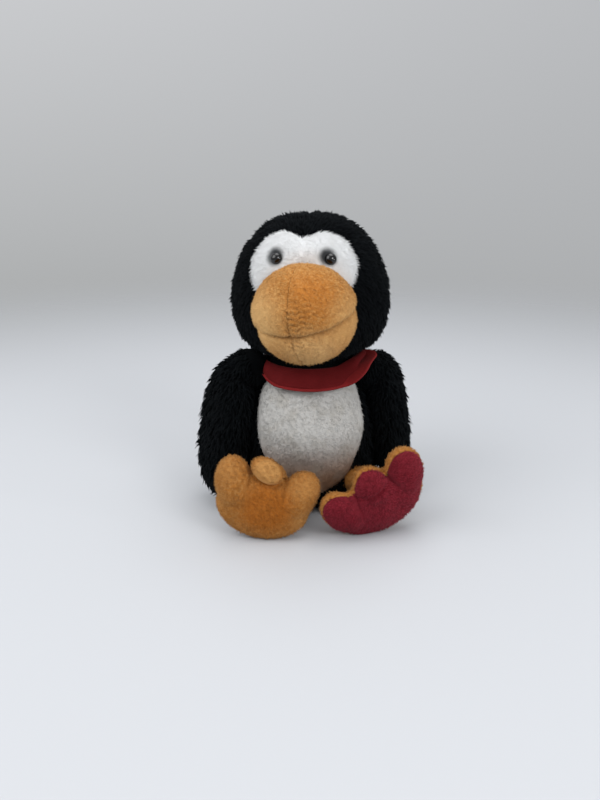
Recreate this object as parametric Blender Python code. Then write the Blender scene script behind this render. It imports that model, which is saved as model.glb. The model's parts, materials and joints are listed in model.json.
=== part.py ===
"""A sitting plush penguin with a red neckerchief, as its separate sewn and stuffed pieces.

The toy looks along -Y and sits on z = 0. Left and right are the penguin's own, so its left is +X.
Shapes are worked out in millimetres in the toy's own frame, whose Z axis is the neck's axis, and
mesh_object() turns them into metres. Every fabric panel is a thin solid over a stuffing core. Panels
and core share one lattice of points, so that their facets stay parallel and never cross.
"""

import math

import bmesh
import bpy
import numpy as np
from mathutils import Matrix, Vector

MM = 0.001

# ---------------------------------------------------------------- driving dimensions, in mm
NECK_AXIS = (3.8, 13.2)  # the neck axis from the origin, which is under the middle of the toy's box
FABRIC = 2.0             # thickness of a sewn panel, backing and laid pile together
SEAM = 0.4               # free space between two pieces that touch

# Torso sections: height, half width, half depth, y of the centre.
TORSO = np.array([
    (0, 34, 31, -3), (3, 41, 38.5, -3), (8, 46, 43.5, -3), (14, 49, 46, -3), (19, 51, 47.5, -3),
    (30, 53.5, 49.5, -3.5), (44, 55, 52, -4.5), (57, 54.8, 53.5, -5.5), (70, 53, 53, -6),
    (80, 50, 49.5, -5.5), (90, 46, 45, -4), (99, 41, 40, -2.5), (105, 36, 35, -1.5), (109, 31, 30, -1),
])
TORSO_CENTRE = (0, -3, 55)
BAG_TOP_ROW = 3          # the pellet bag fills the torso up to this section, the stuffing starts above
# Half width of the white belly panel over height; it starts in a point above the seat.
BELLY = np.array([(14, 0), (19, 11), (30, 27), (44, 35), (57, 40), (70, 42.4), (80, 42), (90, 40),
                  (99, 37), (105, 33.5), (109, 29)])

NECK_BALL_Z, NECK_BALL_R, NECK_SOCKET_R = 115, 16.5, 18.2
NECK_OPENING_R = 23

# Head sections: height and half width; the depth follows the width.
HEAD = np.array([(118, 0), (119.2, 27), (121.6, 37), (125, 45.5), (131, 53), (143, 59.5), (155, 62.2),
                 (166, 62.6), (180, 60.6), (192, 56.4), (203, 51), (212, 44.5), (221.5, 34),
                 (227, 21), (230, 0)])
HEAD_DEPTH, HEAD_Y = 0.9, 1
HEAD_CENTRE = (0, 1, 172)
HEAD_TURN = -8.5         # degrees; the head looks a little to its right
FACE_POLE = (0, 190)     # x, z of the point that the face mask spreads from
# Right half of the white mask's outline, x and z, from the notch between the brows to behind the beak.
MASK = [(0, 213), (8, 215.8), (16, 217), (29, 212), (35.5, 204), (38.8, 197), (39, 190), (35.5, 179),
        (27, 168), (14, 160), (0, 157)]
EYE_X, EYE_Z, EYE_R = 20, 199.5, 4.6
SHANK_R, WASHER_R, WASHER_T = 1.6, 6.5, 1.6

BEAK_CENTRE = (5.6, -66, 163.4)
BEAK_RADII = (37, 34.5, 34.6)
BEAK_SEAMS = (-10, -19, 5)  # where the four seams meet: degrees round, up, and the roll of the mouth

# Wings: shoulder pivot, upper and lower end of the mid-plane, turn of its outer face to the front,
# half width and half thickness. The numbers are for a wing on +X, and are mirrored for the other.
WINGS = {
    "left": dict(side=1, pivot=(57, -4, 113), top=(58, -3, 124), tip=(71.5, -13, 8), turn=4,
                 width=27, thick=13),
    "right": dict(side=-1, pivot=(57, -8, 111), top=(59, -9, 121), tip=(76, -25, 7), turn=28,
                  width=28, thick=14.5),
}
WING_LIFT = 85           # degrees
WING_SQUARE = 2.4        # 2 gives the wing an elliptical outline, more a squarer one
WING_CLEARANCE = 1.0     # free space between a wing and the torso all through its lift

# Feet: hinge at the body, turn about Z, palm centre from the hinge, lean forward and roll, toe spread.
FEET = {
    "left": dict(pivot=(34, -47, 25), turn=17, palm=(4, -34, 10.4), lean=10, roll=-31, spread=31),
    "right": dict(pivot=(-31, -49, 24), turn=0, palm=(-1.5, -31, 11.7), lean=-7, roll=13, spread=26.7),
}
PALM_R, PALM_SHIFT, TOE_R, TOE_RISE, MIDDLE_TOE_R, CLEFT = 36, 14, 11.5, 21.2, 13, 20
FOOT_FRONT, FOOT_BACK = 10.5, 9.5  # how far the sole and the top stand off the seam
LEG_R, LEG_FABRIC, LEG_DROP = 9.5, 1.6, 9  # the leg meets the foot this far below its palm's centre

TAIL_PIVOT, TAIL_CENTRE, TAIL_LENGTH, TAIL_WIDTH, TAIL_THICK = (0, 45.5, 15), (0, 60, 17), 14, 13, 5.5
TAIL_RISE = 14           # degrees; the tail points a little upward

# Neckerchief layers: inner and outer edge as radius and height, at the front, the sides and the back,
# and half their thickness.
BAND = dict(front=(33.5, 112.2, 50, 106), side=(33, 115, 39.5, 116), back=(34, 110.6, 44, 103.2))
UNDER_FOLD = dict(front=(32.2, 109.4, 50.6, 102.2), side=(33.4, 111.8, 36.5, 112),
                  back=(32, 108.2, 43, 99.6))
BAND_THICK, FOLD_THICK = 2.2, 0.8
# Cross-section of a layer: share of the way from its inner to its outer edge, and height off its
# mid-line in half thicknesses, once round.
LAYER_SECTION = [(0, 0.5), (0.5, 0.8), (0.93, 1.0), (1.0, 0.35), (1.0, -0.35), (0.93, -0.8),
                 (0.5, -0.6), (0, -0.5)]
KERCHIEF_TURN = 6        # degrees; the collar has slid a little round the neck
KNOT_PLACE, KNOT_RADII = (0, 52.5, 107), (8.5, 4.6, 6)
# The two hanging ends of the neckerchief: top and tip of the one on +X, half width and half thickness.
CLOTH_END_TOP, CLOTH_END_TIP, CLOTH_END_WIDTH, CLOTH_END_THICK = (4, 52.5, 100.5), (16, 54, 76), 8.0, 1.3

# Colours: base colour, roughness.
BLACK_PLUSH = ("black_plush", (0.012, 0.015, 0.017), 0.95)
WHITE_PLUSH = ("white_plush", (0.78, 0.79, 0.80), 0.95)
ORANGE_PLUSH = ("orange_plush", (0.76, 0.36, 0.08), 0.9)
RASPBERRY_PLUSH = ("raspberry_plush", (0.36, 0.03, 0.06), 0.9)
RED_CLOTH = ("red_cloth", (0.17, 0.012, 0.015), 0.8)
FIBREFILL = ("fibrefill", (0.85, 0.85, 0.82), 1.0)
PELLETS = ("pellet_bag", (0.7, 0.7, 0.66), 0.7)
EYE_BLACK = ("eye_plastic", (0.006, 0.006, 0.007), 0.12)
WASHER_WHITE = ("washer_plastic", (0.75, 0.75, 0.72), 0.5)


# ---------------------------------------------------------------- scene, groups and materials
def clear_scene():
    for obj in list(bpy.data.objects):
        bpy.data.objects.remove(obj, do_unlink=True)


def material(finish):
    name, colour, roughness = finish
    found = bpy.data.materials.get(name)
    if found:
        return found
    made = bpy.data.materials.new(name)
    made.use_nodes = True
    made.diffuse_color = (*colour, 1)
    shader = made.node_tree.nodes["Principled BSDF"]
    shader.inputs["Base Color"].default_value = (*colour, 1)
    shader.inputs["Roughness"].default_value = roughness
    shader.inputs["Metallic"].default_value = 0
    return made


def group(name, pivot=(0, 0, 0), turn=0):
    """An empty on a joint's axis. Its pieces are modelled facing straight ahead, and it turns them."""
    empty = bpy.data.objects.new(name, None)
    bpy.context.scene.collection.objects.link(empty)
    empty.empty_display_size = 0.02
    empty.location = [(p + n) * MM for p, n in zip(pivot, (*NECK_AXIS, 0))]
    empty.rotation_euler.z = math.radians(turn)
    empty["pivot"] = pivot
    return empty


def mesh_object(name, points, faces, finish, parent):
    """One closed solid from points in the toy's frame, in mm, with coinciding points merged."""
    mesh = bpy.data.meshes.new(name)
    local = (np.asarray(points, float).reshape(-1, 3) - np.array(parent["pivot"])) * MM
    mesh.from_pydata([tuple(p) for p in local], [], [tuple(int(n) for n in f) for f in faces])
    work = bmesh.new()
    work.from_mesh(mesh)
    bmesh.ops.remove_doubles(work, verts=work.verts, dist=1e-6)
    bmesh.ops.recalc_face_normals(work, faces=work.faces)
    work.to_mesh(mesh)
    work.free()
    mesh.shade_smooth()
    mesh.set_sharp_from_angle(angle=math.radians(50))
    mesh.materials.append(material(finish))
    made = bpy.data.objects.new(name, mesh)
    bpy.context.scene.collection.objects.link(made)
    made.parent = parent
    return made


def cut(piece, cutter):
    """Takes the cutter's shape out of a piece with a Boolean modifier."""
    modifier = piece.modifiers.new(f"cut_{cutter.name}", "BOOLEAN")
    modifier.operation = "DIFFERENCE"
    modifier.solver = "EXACT"
    modifier.object = cutter


def guide(made):
    made.hide_render = True
    made.display_type = "WIRE"
    return made


# ---------------------------------------------------------------- lattices of points
def lattice_faces(rows, columns, wrap, start=0):
    """Triangles over points stored row by row; wrap joins the last column to the first."""
    faces = []
    for i in range(rows - 1):
        for j in range(columns if wrap else columns - 1):
            here = start + i * columns + j
            beside = start + i * columns + (j + 1) % columns
            faces += [(here, beside, beside + columns), (here, beside + columns, here + columns)]
    return faces


def strip_faces(first, second):
    """Triangles between two equally long chains of point numbers."""
    pairs = zip(first, first[1:], second, second[1:])
    return [face for a, b, c, d in pairs for face in ((a, b, d), (a, d, c))]


def closed_solid(name, rows, finish, parent):
    """A solid skinned over closed rings of points, whose first and last rings are single points."""
    rows = np.asarray(rows, float)
    return mesh_object(name, rows, lattice_faces(*rows.shape[:2], True), finish, parent)


def panel(name, outer, inner, finish, parent, wrap=False):
    """A fabric panel between an outer and an inner lattice of the same shape."""
    rows, columns = outer.shape[:2]
    count = rows * columns
    faces = lattice_faces(rows, columns, wrap)
    faces += [face[::-1] for face in lattice_faces(rows, columns, wrap, count)]
    numbers = np.arange(count).reshape(rows, columns)
    ends = [numbers[0], numbers[-1]] if wrap else [numbers[0], numbers[-1], numbers[:, 0], numbers[:, -1]]
    for end in ends:
        if np.ptp(outer.reshape(-1, 3)[end], axis=0).max() < 1e-3:
            continue
        chain = np.append(end, end[0]) if wrap else end
        faces += strip_faces(chain, chain + count)
    points = np.concatenate([outer.reshape(-1, 3), inner.reshape(-1, 3)])
    return mesh_object(name, points, faces, finish, parent)


def sunk(points, centre, depth):
    """The points moved straight towards a centre by a depth."""
    away = np.asarray(points, float) - np.array(centre)
    length = np.linalg.norm(away, axis=-1, keepdims=True)
    return np.array(centre) + away * (1 - depth / length)


def reach(centre, directions, inside, far=120):
    """How far each ray from the centre stays inside a shape."""
    low = np.zeros(directions.shape[:-1])
    high = np.full(directions.shape[:-1], float(far))
    for _ in range(30):
        middle = (low + high) / 2
        held = inside(np.array(centre) + directions * middle[..., None])
        low = np.where(held, middle, low)
        high = np.where(held, high, middle)
    return low


def ball(name, centre, radii, finish, parent, segments=16, rings=10):
    """A turned ball with three half axes."""
    rise = np.linspace(-math.pi / 2, math.pi / 2, rings + 1)[:, None]
    round_ = np.arange(segments)[None, :] * 2 * math.pi / segments
    unit = np.stack([np.cos(rise) * np.cos(round_), np.cos(rise) * np.sin(round_),
                     np.sin(rise) * np.ones_like(round_)], -1)
    return closed_solid(name, np.array(centre) + unit * np.array(radii), finish, parent)


def rod(name, start, axis, stations, finish, parent, segments=12):
    """A turned rod: stations are pairs of distance along the axis and radius, ends closed."""
    along = Vector(axis).normalized()
    side = along.orthogonal().normalized()
    other = along.cross(side)
    angles = np.arange(segments) * 2 * math.pi / segments
    circle = np.outer(np.cos(angles), side) + np.outer(np.sin(angles), other)
    stations = [(stations[0][0], 0), *stations, (stations[-1][0], 0)]
    rows = [np.array(start) + np.array(along) * distance + circle * radius for distance, radius in stations]
    return closed_solid(name, rows, finish, parent)


# ---------------------------------------------------------------- torso
def torso_point(height, angle):
    """A point of the torso's surface; the angle runs from the front towards +X."""
    width, depth, middle = (np.interp(height, TORSO[:, 0], TORSO[:, k]) for k in (1, 2, 3))
    return np.stack(np.broadcast_arrays(width * np.sin(angle), middle - depth * np.cos(angle), height), -1)


def in_torso(points, grow=0):
    x, y, z = np.moveaxis(points, -1, 0)
    width, depth, middle = (np.interp(z, TORSO[:, 0], TORSO[:, k]) for k in (1, 2, 3))
    flat = (x / (width + grow)) ** 2 + ((y - middle) / (depth + grow)) ** 2
    return (flat < 1) & (z > -grow) & (z < TORSO[-1, 0] + grow)


def torso_angles():
    """Angles of the lattice's columns for each section: right side panel, belly, left side panel."""
    heights = TORSO[:, 0]
    half = np.interp(heights, BELLY[:, 0], BELLY[:, 1], left=0)
    edge = np.arcsin(half / TORSO[:, 1])
    gap = SEAM / TORSO[:, 1]
    belly = edge[:, None] * np.linspace(-1, 1, 7)
    side = (edge + gap)[:, None] + (math.pi - edge - 1.5 * gap)[:, None] * np.linspace(0, 1, 9)
    return -side[:, ::-1], belly, side


def make_torso(parent):
    heights = TORSO[:, 0][:, None]
    right, belly, left = (torso_point(heights, angles) for angles in torso_angles())
    inner = [sunk(points, TORSO_CENTRE, FABRIC) for points in (right, belly, left)]
    point_row = int(np.argmax(BELLY[0, 0] <= TORSO[:, 0]))
    panel("torso_right_panel", right, inner[0], BLACK_PLUSH, parent)
    panel("torso_left_panel", left, inner[2], BLACK_PLUSH, parent)
    panel("torso_belly_panel", belly[point_row:], inner[1][point_row:], WHITE_PLUSH, parent)

    angles = np.arange(24) * 2 * math.pi / 24
    rim = torso_point(0.0, angles) * (1, 1, 0)
    middle = rim.mean(axis=0)
    seat = middle + (rim - middle) * (1 - 1.5 * SEAM / 30) * np.array([0, 0.5, 1])[:, None, None]
    panel("torso_seat_panel", seat, sunk(seat, TORSO_CENTRE, FABRIC), BLACK_PLUSH, parent, wrap=True)

    core = sunk(np.concatenate([right, belly, left], axis=1), TORSO_CENTRE, FABRIC + SEAM)
    bag, filling = core[: BAG_TOP_ROW + 1], core[BAG_TOP_ROW + 1:]
    for name, rows, finish in (("torso_pellet_bag", bag, PELLETS), ("torso_stuffing", filling, FIBREFILL)):
        ends = [np.broadcast_to(row.mean(axis=0), row.shape) for row in (rows[0], rows[-1])]
        made = closed_solid(name, [ends[0], *rows, ends[1]], finish, parent)
    cut(made, neck_socket("neck_socket_low", parent))


def neck_socket(name, parent):
    """The hollow round the neck's ball, cut out of the torso's and the head's stuffing."""
    return guide(ball(name, (0, 0, NECK_BALL_Z), [NECK_SOCKET_R] * 3, FIBREFILL, parent, 18, 12))


# ---------------------------------------------------------------- head
def head_half_width(z):
    return np.sqrt(np.interp(z, HEAD[:, 0], HEAD[:, 1] ** 2, left=0, right=0))


def in_head(points, grow=0):
    x, y, z = np.moveaxis(points, -1, 0)
    width = head_half_width(z)
    return (x / (width + grow + 1e-9)) ** 2 + ((y - HEAD_Y) / (HEAD_DEPTH * width + grow + 1e-9)) ** 2 < 1


def face_point(x, z):
    """The point of the head's front surface at a place seen from straight ahead."""
    width = head_half_width(z)
    return np.array([x, HEAD_Y - HEAD_DEPTH * width * math.sqrt(1 - (x / width) ** 2), z])


def face_axes():
    """The direction of the face's pole from the head's centre, then across and up from it."""
    out = face_point(*FACE_POLE) - np.array(HEAD_CENTRE)
    out /= np.linalg.norm(out)
    across = np.array([1.0, 0, 0])
    return out, across, np.cross(across, out) * -1


def mask_edge(columns):
    """The mask edge's angle from the face's pole, for each direction round it."""
    out, across, up = face_axes()
    outline = MASK + [(-x, z) for x, z in MASK[-2:0:-1]]
    rays = np.array([face_point(x, z) for x, z in outline]) - np.array(HEAD_CENTRE)
    tilt = np.arccos(rays @ out / np.linalg.norm(rays, axis=1))
    round_ = np.arctan2(rays @ up, rays @ across)
    return np.interp(columns, *np.array(sorted(zip(round_, tilt))).T, period=2 * math.pi)


def polar_rows(centre, axes, tilts, columns, inside):
    """Surface points of a shape at tilts (rows) from a pole, in directions (columns) round it."""
    out, across, up = axes
    spread = np.cos(columns)[:, None] * across + np.sin(columns)[:, None] * up
    rays = np.cos(tilts)[..., None] * out + np.sin(tilts)[..., None] * spread
    return np.array(centre) + rays * reach(centre, rays, inside)[..., None]


def make_head(parent):
    half_count = 12
    columns = np.arange(-half_count // 2, half_count * 3 // 2) * math.pi / half_count
    edge = mask_edge(columns)
    gap = SEAM / 50
    mask_tilts = edge * np.linspace(0, 1, 4)[:, None]
    side_tilts = edge + gap + (math.pi - edge - gap) * np.linspace(0, 1, 7)[:, None]
    axes = face_axes()
    mask = polar_rows(HEAD_CENTRE, axes, mask_tilts, columns, in_head)
    side = polar_rows(HEAD_CENTRE, axes, side_tilts, columns, in_head)
    whole = np.concatenate([mask, side])
    closed_ring = np.concatenate([side, side[:, :1]], axis=1)
    opening = [(-10, NECK_OPENING_R), (20, NECK_OPENING_R)]
    neck_hole = guide(rod("neck_opening", (0, 0, NECK_BALL_Z), (0, 0, 1), opening, BLACK_PLUSH, parent, 24))

    face = panel("head_face_mask", mask, sunk(mask, HEAD_CENTRE, FABRIC), WHITE_PLUSH, parent, wrap=True)
    halves = (("left", 1, closed_ring[:, : half_count + 1]), ("right", -1, closed_ring[:, half_count:]))
    for name, sign, points in halves:
        points = points.copy()
        points[..., 0] = sign * np.maximum(sign * points[..., 0], SEAM / 2)
        inner = sunk(points, HEAD_CENTRE, FABRIC)
        inner[..., 0] = sign * np.maximum(sign * inner[..., 0], SEAM / 2)
        cut(panel(f"head_{name}_panel", points, inner, BLACK_PLUSH, parent), neck_hole)

    stuffing = closed_solid("head_stuffing", sunk(whole, HEAD_CENTRE, FABRIC + SEAM), FIBREFILL, parent)
    cut(stuffing, neck_socket("neck_socket_high", parent))
    make_eyes(face, stuffing, parent)


def make_eyes(face, stuffing, parent):
    """Bead eyes with a shank through the mask, held by a washer in a pocket of the stuffing."""
    for name, sign in (("left", 1), ("right", -1)):
        place = face_point(sign * EYE_X, EYE_Z)
        out = place - np.array(HEAD_CENTRE)
        out = out / np.linalg.norm(out)
        dome = [(EYE_R * math.sin(a), EYE_R * math.cos(a)) for a in np.radians([0, 25, 50, 72])]
        shank = [(-9, SHANK_R), (0.3, SHANK_R), (0.3, EYE_R)]
        stations = shank + [(0.3 + rise, radius) for rise, radius in dome]
        rod(f"eye_{name}", place, out, stations, EYE_BLACK, parent)
        washer = rod(f"eye_washer_{name}", place, out, [(-7.5, WASHER_R), (-7.5 + WASHER_T, WASHER_R)],
                     WASHER_WHITE, parent, 14)
        shank_r = SHANK_R + SEAM / 2
        cut(washer, guide(rod(f"washer_hole_{name}", place, out, [(-9.5, shank_r), (-3, shank_r)],
                              WASHER_WHITE, parent)))
        cut(face, guide(rod(f"shank_hole_{name}", place, out, [(-4, SHANK_R + SEAM), (4, SHANK_R + SEAM)],
                            WHITE_PLUSH, parent)))
        pocket = WASHER_R + SEAM
        cut(stuffing, guide(rod(f"washer_pocket_{name}", place, out, [(-10, pocket), (4, pocket)],
                                FIBREFILL, parent, 16)))


def beak_axes():
    """The pole where the beak's seams meet, then across along the mouth and up, all rolled."""
    turn, rise, roll = (math.radians(a) for a in BEAK_SEAMS)
    turned = Matrix.Rotation(turn, 3, "Z") @ Matrix.Rotation(-rise, 3, "X") @ Matrix.Rotation(-roll, 3, "Y")
    return tuple(np.array(turned @ Vector(v)) for v in ((0, -1, 0), (1, 0, 0), (0, 0, 1)))


def in_beak(points):
    ball_part = (((points - np.array(BEAK_CENTRE)) / np.array(BEAK_RADII)) ** 2).sum(-1) < 1
    return ball_part & ~in_head(points, SEAM)


def make_beak(parent):
    """Four panels that meet under the middle of the beak, round one stuffing."""
    axes = beak_axes()
    corners = np.radians([0, 90, 180, 270])
    gap = math.radians(0.7)
    parts = [corner + gap + (math.pi / 2 - 2 * gap) * np.linspace(0, 1, 5) for corner in corners]
    columns = np.concatenate(parts)
    _, across, up = axes
    first = math.radians(2.5)
    # The panels end where their wall, sunk by the fabric's thickness, still clears the head.
    tries = np.radians(np.arange(60, 150, 1.0))
    rows = polar_rows(BEAK_CENTRE, axes, tries[:, None] * np.ones_like(columns), columns, in_beak)
    on_ball = (((rows - np.array(BEAK_CENTRE)) / np.array(BEAK_RADII)) ** 2).sum(-1) > 0.995
    last = np.array([tries[np.argmin(free)] - math.radians(2) for free in on_ball.T])
    tilts = first + (last - first) * np.linspace(0, 1, 7)[:, None]
    outer = polar_rows(BEAK_CENTRE, axes, tilts, columns, in_beak)
    inner = sunk(outer, BEAK_CENTRE, FABRIC)
    for k, name in enumerate(("upper_left", "upper_right", "lower_right", "lower_left")):
        own = slice(5 * k, 5 * k + 5)
        panel(f"beak_{name}_panel", outer[:, own], inner[:, own], ORANGE_PLUSH, parent)
    back = last + (math.pi - last) * np.array([0.12, 0.55, 1.0])[:, None]
    base = polar_rows(BEAK_CENTRE, axes, back, columns, in_beak)
    core = sunk(np.concatenate([outer, base]), BEAK_CENTRE, FABRIC + SEAM)
    tip = np.broadcast_to(core[0].mean(axis=0), core[0].shape)
    closed_solid("beak_stuffing", [tip, *core], FIBREFILL, parent)


# ---------------------------------------------------------------- two-panel pillows: wings, feet, tail
def pillow_half(radius, columns, depth, inset, levels):
    """Local points of one half of a pillow, from its middle to its seam: across, along and out."""
    spread = levels[:, None] * (radius - inset)
    height = depth * (1 - inset / np.abs(depth).max())
    return np.stack([spread * np.cos(columns), spread * np.sin(columns), height], -1)


def make_pillow(names, finishes, radius, columns, depths, levels, place, parent):
    """Two fabric panels sewn round their edge, over one stuffing.

    depths are the heights of the front and the back half over levels and columns, and place() puts
    local points into the toy's frame.
    """
    for name, finish, depth, order in zip(names, finishes, depths, (1, -1)):
        outer = place(pillow_half(radius, columns, depth, 0, levels)[::order])
        inner = place(pillow_half(radius, columns, depth, FABRIC, levels)[::order])
        panel(name, outer, inner, finish, parent, wrap=True)
    core = [pillow_half(radius, columns, depth, FABRIC + SEAM, levels) for depth in depths]
    closed_solid(names[2], place(np.concatenate([core[0], core[1][::-1]])), FIBREFILL, parent)


def crown(levels, power, columns):
    """The rounded profile of a pillow from 1 in its middle to half a seam's gap at its edge."""
    profile = np.sqrt(np.maximum(1 - levels ** power, 0))
    return profile[:, None] * np.ones_like(columns)


def ellipse_radius(columns, across, along):
    """The radius of an ellipse in each direction, from its two half axes."""
    return across * along / np.hypot(along * np.cos(columns), across * np.sin(columns))


def frame_place(origin, across, along, out):
    axes = np.array([across, along, out], float)
    return lambda points: np.array(origin) + points @ axes


def make_wing(name, parent):
    """A long flat pillow whose inner side is pressed to the torso and clears it as the wing lifts."""
    spec = WINGS[name]
    mirror = np.array([spec["side"], 1, 1])
    top, tip, pivot = (np.array(spec[key], float) for key in ("top", "tip", "pivot"))
    along = (top - tip) / np.linalg.norm(top - tip)
    turn = math.radians(spec["turn"])
    out = np.array([math.cos(turn), -math.sin(turn), 0.0])
    out -= along * (out @ along)
    out /= np.linalg.norm(out)
    place = frame_place((top + tip) / 2, np.cross(along, out), along, out)
    columns = np.arange(18) * 2 * math.pi / 18
    levels = np.array([0, 0.35, 0.66, 0.88, 1.0])
    length = np.linalg.norm(top - tip) / 2
    width = spec["width"]
    radius = (np.abs(np.cos(columns) / width) ** WING_SQUARE
              + np.abs(np.sin(columns) / length) ** WING_SQUARE) ** (-1 / WING_SQUARE)
    profile = crown(levels, 4, columns)
    back = -spec["thick"] * profile
    lifts = np.radians(np.arange(0, WING_LIFT + 1, 5))
    for step in np.linspace(1, 0.02, 50):
        points = place(pillow_half(radius, columns, np.minimum(back, -SEAM / 2), 0, levels)) - pivot
        hits = np.zeros(back.shape, bool)
        for lift in lifts:
            c, s = math.cos(lift), math.sin(lift)
            raised = np.stack([points[..., 0] * c - points[..., 2] * s, points[..., 1],
                               points[..., 0] * s + points[..., 2] * c], -1)
            hits |= in_torso(raised + pivot, WING_CLEARANCE)
        if not hits.any():
            break
        back = np.where(hits, back + spec["thick"] * 0.02, back)
    depths = (np.maximum(spec["thick"] * profile, SEAM / 2), np.minimum(back, -SEAM / 2))
    names = (f"wing_{name}_outer_panel", f"wing_{name}_inner_panel", f"wing_{name}_stuffing")
    make_pillow(names, (BLACK_PLUSH, BLACK_PLUSH), radius, columns, depths, levels,
                lambda points: place(points) * mirror, parent)


def foot_radius(columns, spread):
    """A round palm with three toes, as a radius round a point low in the palm."""
    across, rise = np.cos(columns), np.sin(columns)
    palm = PALM_SHIFT * rise + np.sqrt(PALM_R ** 2 - (PALM_SHIFT * across) ** 2)
    radius = np.where(rise > 0.2, np.minimum(palm, CLEFT / np.maximum(rise, 0.2)), palm)
    toes = [(spread, TOE_RISE, TOE_R), (-spread, TOE_RISE, TOE_R), (0, 26, MIDDLE_TOE_R)]
    for x, y, toe in toes:
        near = x * across + y * rise
        gap = toe ** 2 - (x ** 2 + y ** 2 - near ** 2)
        reached = near + np.sqrt(np.maximum(gap, 0))
        radius = np.where((gap > 0) & (near > 0), np.maximum(radius, reached), radius)
    return radius


def make_foot(name, sole, parent):
    """A flat foot with three toes and a short leg that joins it to the torso."""
    spec = FEET[name]
    half = np.radians([-90, -62, -34, -8, 10, 24, 37, 49, 58.5, 68, 79])
    columns = np.concatenate([half, [math.pi / 2], math.pi - half[:0:-1]])
    levels = np.array([0, 0.55, 0.86, 1.0])
    profile = crown(levels, 3, columns)
    depths = (np.maximum(FOOT_FRONT * profile, SEAM / 2), np.minimum(-FOOT_BACK * profile, -SEAM / 2))
    turned = (Matrix.Rotation(math.radians(spec["lean"]), 3, "X")
              @ Matrix.Rotation(math.radians(spec["roll"]), 3, "Y"))
    palm = np.array(spec["pivot"]) + np.array(spec["palm"])
    axes = [np.array(turned @ Vector(v)) for v in ((1, 0, 0), (0, 0, 1), (0, -1, 0))]
    place = frame_place(palm - PALM_SHIFT * axes[1], *axes)
    names = (f"foot_{name}_sole_panel", f"foot_{name}_top_panel", f"foot_{name}_stuffing")
    make_pillow(names, (sole, ORANGE_PLUSH), foot_radius(columns, spec["spread"]), columns, depths, levels,
                place, parent)

    # The leg runs from just off the torso to just short of the foot's flat top.
    end = palm - axes[2] * (FOOT_BACK + SEAM) - axes[1] * LEG_DROP
    start = np.array(spec["pivot"]) + np.array([0, -1.5, 0])
    axis = axes[2]
    length = (end - start) @ axis
    start = end - axis * length
    tube = rod(f"leg_{name}_panel", start, axis, [(0, LEG_R), (length, LEG_R)], ORANGE_PLUSH, parent, 14)
    hollow = LEG_R - LEG_FABRIC
    cut(tube, guide(rod(f"leg_hollow_{name}", start, axis, [(-2, hollow), (length + 2, hollow)],
                        ORANGE_PLUSH, parent, 14)))
    rod(f"leg_{name}_stuffing", start, axis, [(0.5, hollow - SEAM), (length - 0.3, hollow - SEAM)],
        FIBREFILL, parent, 14)


def make_tail(parent):
    columns = np.arange(12) * math.pi / 6
    levels = np.array([0, 0.6, 1.0])
    radius = ellipse_radius(columns, TAIL_WIDTH, TAIL_LENGTH)
    profile = crown(levels, 2.5, columns)
    depths = (np.maximum(TAIL_THICK * profile, SEAM / 2), np.minimum(-TAIL_THICK * profile, -SEAM / 2))
    tilt = math.radians(TAIL_RISE)
    along = (0, math.cos(tilt), math.sin(tilt))
    place = frame_place(TAIL_CENTRE, (-1, 0, 0), along, (0, -math.sin(tilt), math.cos(tilt)))
    names = ("tail_upper_panel", "tail_lower_panel", "tail_stuffing")
    make_pillow(names, (BLACK_PLUSH, BLACK_PLUSH), radius, columns, depths, levels, place, parent)


# ---------------------------------------------------------------- neckerchief
def layer_edges(layer, angles):
    """Inner radius and height, outer radius and height of a layer, round from the front."""
    front, side, back = (np.array(layer[key])[:, None] for key in ("front", "side", "back"))
    ahead = np.clip(np.cos(angles), 0, 1) ** 0.8
    behind = np.clip(-np.cos(angles), 0, 1) ** 0.8
    return side + (front - side) * ahead + (back - side) * behind


def kerchief_ring(name, layer, thick, parent):
    """A slanting collar of cloth round the neck, thickest near its lower edge."""
    count = 28
    angles = np.arange(count) * 2 * math.pi / count
    inner_r, inner_z, outer_r, outer_z = layer_edges(layer, angles)
    across_r, across_z = outer_r - inner_r, outer_z - inner_z
    length = np.hypot(across_r, across_z)
    rows = []
    for share, puff in LAYER_SECTION:
        radius = inner_r + across_r * share - thick * puff * across_z / length
        height = inner_z + across_z * share + thick * puff * across_r / length
        rows.append(np.stack([radius * np.sin(angles), -radius * np.cos(angles), height], -1))
    rows = np.array(rows + rows[:1])
    return mesh_object(name, rows, lattice_faces(*rows.shape[:2], True), RED_CLOTH, parent)


def make_kerchief(parent):
    kerchief_ring("neckerchief_band", BAND, BAND_THICK, parent)
    kerchief_ring("neckerchief_under_fold", UNDER_FOLD, FOLD_THICK, parent)
    ball("neckerchief_knot", KNOT_PLACE, KNOT_RADII, RED_CLOTH, parent, 12, 8)
    for name, sign in (("left", 1), ("right", -1)):
        start, end = (Vector(place) * Vector((sign, 1, 1)) for place in (CLOTH_END_TOP, CLOTH_END_TIP))
        middle = (start + end) / 2
        along = (start - end).normalized()
        out = Vector((0, 1, 0))
        out = (out - along * out.dot(along)).normalized()
        columns = np.arange(10) * math.pi / 5
        levels = np.array([0, 0.7, 1.0])
        radius = ellipse_radius(columns, CLOTH_END_WIDTH, (start - end).length / 2)
        depth = CLOTH_END_THICK * crown(levels, 4, columns)
        rows = [pillow_half(radius, columns, d, 0, levels) for d in (depth, -depth)]
        place = frame_place(middle, along.cross(out), along, out)
        closed_solid(f"neckerchief_tail_{name}", place(np.concatenate([rows[0], rows[1][::-1]])),
                     RED_CLOTH, parent)


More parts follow.
